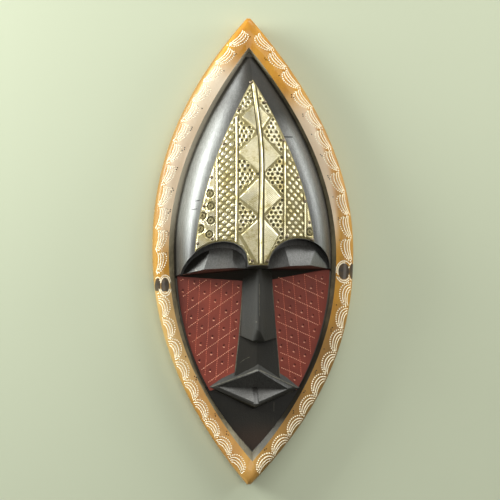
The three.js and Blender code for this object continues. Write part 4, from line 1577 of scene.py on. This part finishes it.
def embossing(x, y):
    """How far the pattern stands above the sheet, in millimetres."""
    band = np.abs(x - band_x(y))
    lozenge = lozenge_room(x, y)
    ribs = rib_room(x, y, RIBS)
    inner_left, inner_right, outer_left, outer_right = (rib_x(rib, y) for rib in RIBS)
    left_net = (x > outer_left) & (x < inner_left) | (x < inner_left) & (y > RIBS[2]["top"])
    right_net = (x < outer_right) & (x > inner_right) | (x > inner_right) & (y > RIBS[3]["top"])
    left_net &= y < RIBS[0]["top"]
    right_net &= y < RIBS[1]["top"]
    height = np.where(in_middle(x, y) & (y < 125), MIDDLE_GROUND, OUTER_GROUND)

    pit, pit_x, pit_y = staggered(x, y, PIT_STEP, 0.8, 4.0)
    fits = ease(pit_room(pit_x, pit_y), 0, 0.4)
    ring = 0.34 * bell(pit - PIT_RADIUS - 0.45, 0.35)
    dent = 0.4 * (1 - ease(pit, 0.85, PIT_RADIUS + 0.1))
    height += fits * (ring - dent)

    left_bumps = crossed_grooves(x, y, 1.12, -0.75, 5.85, 0.2)
    height = np.where(left_net, NET_GROUND + 0.5 * left_bumps, height)
    leaned = x + 0.15 * y
    right_bumps = crossed_grooves(leaned, y, 1.13, -1.13, 6.1, 0.36)
    height = np.where(right_net, NET_GROUND + 0.56 * right_bumps, height)

    for boss_x, boss_y in BOSSES:
        away = np.hypot(x - boss_x, (y - boss_y) * 0.94)
        disc = 0.55 * bell(away - 3.4, 0.45) - 0.4 * bell(away - 2.5, 0.5) + 0.16 * bell(away - 1.4, 0.5)
        disc -= 0.45 * bell(away, 0.7)
        height = np.where(away < BOSS_RADIUS, height * ease(away, 3.5, BOSS_RADIUS) + disc, height)

    height -= 0.16 * ease(-lozenge, -0.1, 0.4) * ease(-lozenge, 2.3, 1.5) * (y > -11)
    height = np.where(lozenge > 0, NET_GROUND + 0.42 * ease(lozenge, 0.05, 0.6), height)
    height = np.where(ribs < 1.5, height * ease(ribs, 0.8, 1.5), height)
    height += 0.62 * bell(ribs, 0.62) - 0.3 * bell(ribs - 1.45, 0.5)
    height = np.where(band < BAND_HALF, height * ease(band, 1.8, BAND_HALF), height)
    height += 0.6 * bell(band, 0.85) - 0.4 * bell(band - BAND_GROOVE, 0.5) + 0.12 * bell(band - 2.9, 0.4)
    return np.clip(height, -0.42, RELIEF - 0.02)


print("highest relief:", RELIEF, "mm")

# %% [markdown]
# ## The sheet as a grid
#
# The mesh is a fine grid whose columns run from the lids up to the sheet's edge. It follows the
# sheet's own outline, so nothing has to be cut. The underside is coarser, because it doesn't show. The
# heights are also kept as an attribute, for the patina.

# %% The sheet as a grid
GAP, SHEET = 0.3, 0.8
EDGE_LOSS, SUNK = 0.5, 0.1
DENT_DEPTH, DENT_SIZE, DENT_STEP = 0.1, 11, 4
SHEET_COLUMNS, SHEET_ROWS = 200, 340
COARSE = 4
SHEET_TIP_Y = 131.4
LID_MARGIN = 0.5


def over_lids(x_off):
    """The lowest y of a column of the sheet: the margin round the lids, or the sheet's lower end."""
    low = PLATE_END_Y
    for lid in LIDS:
        grown = [size + LID_MARGIN for size in (CHANNEL_INNER, CHANNEL_OUTER, CHANNEL_RISE)]
        outline = np.array(arch(lid, *grown, steps=300)[:-2])
        outline = outline[np.argsort(outline[:, 0])]
        x = float(ridge_x(0)) + x_off
        if outline[0, 0] < x < outline[-1, 0]:
            low = max(low, float(np.interp(x, outline[:, 0], outline[:, 1])))
    return low


def column_top(x_off):
    """The highest y of a column of the sheet."""
    most, curve = PLATE_REACH[-1 if x_off < 0 else 1]
    up = max(0.0, 1 - abs(x_off) / most) ** (1 / curve)
    return min(SHEET_TIP_Y, PLATE_WIDEST_Y + up * (PLATE_TIP_Y - PLATE_WIDEST_Y))


def sheet_columns():
    """Where the columns stand, counted from the ridge: one lies right on it."""
    ends = []
    for side in (-1, 1):
        reach = PLATE_REACH[side][0] * 0.999
        while column_top(side * reach) - over_lids(side * reach) < 0.6:
            reach -= 0.05
        ends.append(reach)
    left = round(SHEET_COLUMNS * ends[0] / sum(ends) / COARSE) * COARSE
    return np.concatenate([
        np.linspace(-ends[0], 0, left + 1), np.linspace(0, ends[1], SHEET_COLUMNS - left + 1)[1:]])


def sheet_faces(rows, count, coarse_rows, coarse_count):
    """The faces of the fine top, the coarse underside and the strip between them."""
    faces = []
    for r in range(rows - 1):
        for c in range(count - 1):
            a = r * count + c
            faces.append([a, a + 1, a + count + 1, a + count])
    base = rows * count
    for r in range(coarse_rows - 1):
        for c in range(coarse_count - 1):
            a = base + r * coarse_count + c
            faces.append([a, a + coarse_count, a + coarse_count + 1, a + 1])
    for c in range(coarse_count - 1):
        fine = [c * COARSE + k for k in range(COARSE + 1)]
        faces.append(fine[::-1] + [base + c, base + c + 1])
        last = (rows - 1) * count
        under_last = base + (coarse_rows - 1) * coarse_count
        faces.append([last + k for k in fine] + [under_last + c + 1, under_last + c])
    for r in range(coarse_rows - 1):
        fine = [(r * COARSE + k) * count for k in range(COARSE + 1)]
        faces.append(fine + [base + (r + 1) * coarse_count, base + r * coarse_count])
        fine = [f + count - 1 for f in fine]
        far = base + coarse_count - 1
        faces.append(fine[::-1] + [far + r * coarse_count, far + (r + 1) * coarse_count])
    return faces


def make_sheet():
    columns = sheet_columns()
    shares = np.linspace(0, 1, SHEET_ROWS + 1)
    low = np.array([over_lids(c) for c in columns])
    high = np.array([column_top(c) for c in columns])
    y = low[None, :] + (high - low)[None, :] * shares[:, None]
    off = np.broadcast_to(columns[None, :], y.shape)
    x = ridge_x(y) + off
    gable = ridge_z(y) - GABLE_SLOPE * np.abs(off)
    relief = embossing(x, y)
    rim_room = np.minimum(edge_room(x, y), (y - low[None, :]) * 0.8)
    thin = ease(rim_room, 0.0, 1.3)
    some_rows = zip(x[::DENT_STEP], y[::DENT_STEP])
    dents = np.array([[DENT_DEPTH * wobble(a, b, 0, DENT_SIZE) for a, b in zip(r, s)] for r, s in some_rows])
    dents = np.repeat(dents, DENT_STEP, axis=0)[:len(x)]
    raised = np.minimum(relief * thin + dents * thin - SUNK * thin, RELIEF)
    top = gable + GAP + (SHEET - EDGE_LOSS) + EDGE_LOSS * thin + raised
    bottom = gable + GAP
    rows, count = y.shape
    verts = [np.column_stack([x.ravel(), y.ravel(), top.ravel()])]
    under = (slice(None, None, COARSE), slice(None, None, COARSE))
    verts.append(np.column_stack([x[under].ravel(), y[under].ravel(), bottom[under].ravel()]))
    coarse_rows, coarse_count = x[under].shape
    faces = sheet_faces(rows, count, coarse_rows, coarse_count)
    mesh = bpy.data.meshes.new("brass_sheet")
    mesh.from_pydata((np.vstack(verts) * MM).tolist(), [], faces)
    relief_layer = mesh.attributes.new("relief", "FLOAT", "POINT")
    flat = np.concatenate([(relief * thin).ravel(), np.zeros(coarse_rows * coarse_count)])
    relief_layer.data.foreach_set("value", flat)
    mesh.polygons.foreach_set("use_smooth", [True] * len(mesh.polygons))
    make_outward(mesh)
    return as_object("embossed_brass_sheet", mesh)


sheet = make_sheet()
print("sheet faces:", len(sheet.data.polygons))

# %% [markdown]
# ## Old brass
#
# Rubbed brass is bright where a cloth reaches and dark olive where dirt stays. The height kept with
# the mesh says which is which. Brown tarnish lies in patches, and fine scratches run across.

# %% Old brass


def old_brass():
    finish = Finish("old_brass")
    relief = Value(finish, finish.node("ShaderNodeAttribute", {"attribute_name": "relief"}, None, "Fac"))
    patch = finish.noise(9, (1, 1, 1), 4.0, 0.65)
    fine = finish.noise(1.0, (1, 1, 1), 3.0, 0.7, 3.0)
    scratch = finish.noise(0.5, (7, 1, 1), 2.0, 0.6, 8.0)
    dirt = (relief + (fine - 0.5) * 0.2).step(0.27, 0.08)
    deep = (relief + (fine - 0.5) * 0.2).step(-0.05, -0.34)
    tarnish = (patch + (fine - 0.5) * 0.3).step(0.54, 0.68)
    hatch = ((finish.x * 0.62 + finish.y * 0.78) * 5.2).math("SINE") * finish.y.step(55, 40)
    base = finish.mix(patch.step(0.3, 0.6), linear(216, 208, 182), linear(198, 186, 142))
    polish_and_glare = relief.step(0.3, 0.43) * scratch.step(0.35, 0.65) * 0.55
    base = finish.mix(polish_and_glare, base, linear(238, 230, 200))
    base = finish.mix(tarnish * 0.65, base, linear(150, 130, 70))
    base = finish.mix(dirt * 0.9, base, linear(108, 97, 55))
    base = finish.mix(deep * 0.9, base, linear(44, 37, 20))
    metal = 0.95 - dirt * 0.6
    rough = 0.26 + dirt * 0.3 + tarnish * 0.15 + scratch * 0.08
    finish.bump(scratch * 0.5 + fine * 0.5 + hatch * 1.4, 0.06, 0.6)
    return finish.set(base_color=base, metallic=metal, roughness=rough).material


sheet.data.materials.append(old_brass())
sheet.data.set_sharp_from_angle(angle=math.radians(60))
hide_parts("brass_forehead_plate")
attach(sheet, "root")
print("sheet finished")

# %% [markdown]
# ## The nails
#
# Sixteen small nails hold the sheet. A second tree sets a nail at each place, square to the slope but
# tilted a little at random, as hammered nails are. The nail itself is a profile spun about its axis.

# %% The nails
NAIL_INSET = 1.9
NAILS_LEFT_Y = [108.5, 81.8, 56, 34.5, 6]
NAILS_RIGHT_Y = [113.7, 84.5, 56.2, 37.9, 22.1, 9]
NAILS_OTHER = [(-2.9, 129), (-33.9, 9.6), (-4.6, -6.9), (6.2, -7.2), (21.6, 11.4)]
NAIL_PROFILE = [
    (0, -6), (0.3, -5.6), (0.5, -5), (0.5, 0), (1.15, 0), (1.28, 0.12), (1.24, 0.34), (1.02, 0.6),
    (0.6, 0.8), (0, 0.87),
]
NAIL_LIFT = GAP + SHEET + 0.2
NAIL_SIDES = 14
NAIL_TILT, NAIL_SEED = 0.07, 5


def nail_places():
    places = []
    for heights, side in ((NAILS_LEFT_Y, -1), (NAILS_RIGHT_Y, 1)):
        places += [(float(ridge_x(y) + side * (plate_reach(y, side) - NAIL_INSET)), y) for y in heights]
    return places + NAILS_OTHER


def gable_normal(x, y):
    side = 1 if x > float(ridge_x(y)) else -1
    climb = float(ridge_z(y + 0.5) - ridge_z(y - 0.5))
    return Vector((side * GABLE_SLOPE, -climb, 1)).normalized()


def make_nail():
    mesh = bpy.data.meshes.new("nail")
    points, faces = [], []
    for radius, height in NAIL_PROFILE:
        count = 1 if radius == 0 else NAIL_SIDES
        turns = [2 * math.pi * i / NAIL_SIDES for i in range(count)]
        points.append([(radius * math.cos(a), radius * math.sin(a), height) for a in turns])
    starts = np.cumsum([0] + [len(ring) for ring in points])
    for r in range(len(points) - 1):
        for i in range(NAIL_SIDES):
            j = (i + 1) % NAIL_SIDES
            lower = [starts[r] + (k if len(points[r]) > 1 else 0) for k in (i, j)]
            upper = [starts[r + 1] + (k if len(points[r + 1]) > 1 else 0) for k in (j, i)]
            faces.append([int(v) for v in dict.fromkeys(lower + upper)])
    flat = np.array([p for ring in points for p in ring])
    mesh.from_pydata((flat * MM).tolist(), [], faces)
    mesh.polygons.foreach_set("use_smooth", [True] * len(mesh.polygons))
    make_outward(mesh)
    return as_object("nail", mesh)


def nail_tree():
    tree = Growth("hammer_in_nails", {"Nail": "Object", "Tilt": "Float", "Seed": "Int", "Metal": "Material"})
    nail = tree.mesh_of("Nail")
    turn = tree.node(
        "FunctionNodeAlignRotationToVector", {"axis": "Z"}, {"Vector": tree.named("upright")})
    least, most = (
        tree.node("ShaderNodeVectorMath", {"operation": "SCALE"}, {0: way, 3: tree.given["Tilt"]})
        for way in ((-1, -1, -8), (1, 1, 8)))
    tilt = tree.node(
        "FunctionNodeRandomValue", {"data_type": "FLOAT_VECTOR"},
        {"Min": least, "Max": most, "Seed": tree.given["Seed"]}, "Value")
    tilted = tree.node(
        "FunctionNodeRotateRotation", {"rotation_space": "LOCAL"}, {"Rotation": turn, "Rotate By": tilt})
    nails = tree.node("GeometryNodeInstanceOnPoints", None, {
        "Points": tree.given["Geometry"], "Instance": nail, "Rotation": tilted})
    tree.end(nails, tree.given["Metal"])
    return tree


def nail_metal():
    finish = Finish("old_nail_heads")
    patch = finish.noise(1.2, (1, 1, 1), 3.0, 0.7)
    base = finish.mix(patch.step(0.35, 0.65), linear(146, 132, 114), linear(94, 82, 68))
    finish.bump(patch, 0.1, 0.6)
    return finish.set(base_color=base, metallic=0.85, roughness=0.34 + patch * 0.25).material


def make_nails():
    places, normals = [], []
    for x, y in nail_places():
        normal = gable_normal(x, y)
        foot = Vector((x, y, float(ridge_z(y)) - GABLE_SLOPE * abs(x - float(ridge_x(y)))))
        places.append(foot + normal * NAIL_LIFT)
        normals.append(normal)
    cloud = point_cloud("brass_nails", places, upright=normals)
    nail = make_nail()
    nail_tree().run(cloud, Nail=nail, Tilt=NAIL_TILT, Seed=NAIL_SEED, Metal=nail_metal())
    bpy.data.objects.remove(nail)
    return cloud


nails = make_nails()
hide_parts(*[f"nail_{i:02d}" for i in range(1, len(nail_places()) + 1)])
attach(nails, "root")
print("nails:", len(nail_places()), "with", len(nails.data.polygons), "faces")

# %% [markdown]
# ## Camera
#
# The camera looks down on the mask, turned six degrees about its long axis, from far enough away that
# there is little perspective. Its focal length is worked out in pixels of the square picture first,
# because it can be measured there, and then turned into millimetres of the sensor.

# %% Camera
CAMERA_DISTANCE = 1400
CAMERA_YAW = math.radians(6)
CAMERA_TARGET = Vector((-2.95, 1.1, 15))
FOCAL_PIXELS = 1816
IMAGE_SIZE = 500
SENSOR = 36


def make_camera():
    forward = Vector((math.sin(CAMERA_YAW), 0, -math.cos(CAMERA_YAW)))
    right = Vector((math.cos(CAMERA_YAW), 0, math.sin(CAMERA_YAW)))
    up = Vector((0, 1, 0))
    data = bpy.data.cameras.new("camera")
    data.sensor_width = SENSOR
    data.lens = FOCAL_PIXELS / IMAGE_SIZE * SENSOR
    camera = as_object("camera", data)
    turn = Matrix((right, up, -forward)).transposed().to_4x4()
    camera.matrix_world = Matrix.Translation((CAMERA_TARGET - forward * CAMERA_DISTANCE) * MM) @ turn
    bpy.context.scene.camera = camera
    return camera


camera = make_camera()
print("camera:", CAMERA_DISTANCE, "mm away, lens", round(camera.data.lens, 1), "mm")

# %% [markdown]
# ## Floor and light
#
# Soft studio light comes from area lamps, as it does from windows. Two low ones at the sides graze the
# flanks and draw their long highlights, a large one stands beyond the crown, one hangs in front, and
# two faint panels open the shadows. The floor is matt pale paper, a hair below the mask.

# %% Floor and light
FLOOR_REACH, FLOOR_DROP = 4.0, 0.0004
COOL, NEUTRAL, SOFT, WARM = (0.96, 1.0, 0.97), (1.0, 1.0, 0.97), (1.0, 1.0, 0.96), (1.0, 0.98, 0.93)
LAMPS = [
    ("window_left", (-0.86, 0.4, 0.2), (-0.03, 0.05, 0.03), (0.52, 0.38), 18, COOL),
    ("window_right", (0.92, 0.4, 0.2), (0.03, 0.05, 0.03), (0.42, 0.38), 6.2, COOL),
    ("window_top", (0.82, 2.23, 0.86), (0, 0, 0.03), (1.45, 1.2), 44, SOFT),
    ("window_front", (0.1, 0.2, 1.6), (0, 0, 0), (0.9, 0.5), 8.5, WARM),
    ("panel_left", (-0.6, 0.47, 1.05), (0, 0.05, 0.04), (0.6, 0.6), 1.5, NEUTRAL),
    ("panel_right", (0.84, 0.45, 0.89), (0, 0.05, 0.04), (0.6, 0.6), 1.2, NEUTRAL),
]
SKY_COLOUR, SKY_STRENGTH = (0.80, 0.84, 0.76, 1), 0.12


def softbox(name, place, aim, size, power, colour):
    data = bpy.data.lights.new(name, "AREA")
    data.shape = "RECTANGLE"
    data.size, data.size_y = size
    data.energy = power
    data.color = colour
    lamp = as_object(name, data)
    lamp.location = place
    lamp.rotation_euler = (Vector(aim) - Vector(place)).to_track_quat("-Z", "Y").to_euler()


def make_floor():
    mesh = bpy.data.meshes.new("floor")
    corners = [(FLOOR_REACH * x, FLOOR_REACH * y, 0) for x, y in ((-1, -1), (1, -1), (1, 1), (-1, 1))]
    mesh.from_pydata(corners, [], [(0, 1, 2, 3)])
    finish = Finish("floor_paper")
    finish.set(base_color=linear(186, 192, 168), roughness=0.9)
    mesh.materials.append(finish.material)
    floor = as_object("floor", mesh)
    floor.location.z = -FLOOR_DROP


make_floor()
for lamp in LAMPS:
    softbox(*lamp)

world = bpy.data.worlds.new("studio")
bpy.context.scene.world = world
world.use_nodes = True
sky = world.node_tree.nodes["Background"].inputs
sky["Color"].default_value = SKY_COLOUR
sky["Strength"].default_value = SKY_STRENGTH
bpy.context.scene.view_settings.view_transform = "Standard"
print("lamps:", len(LAMPS))
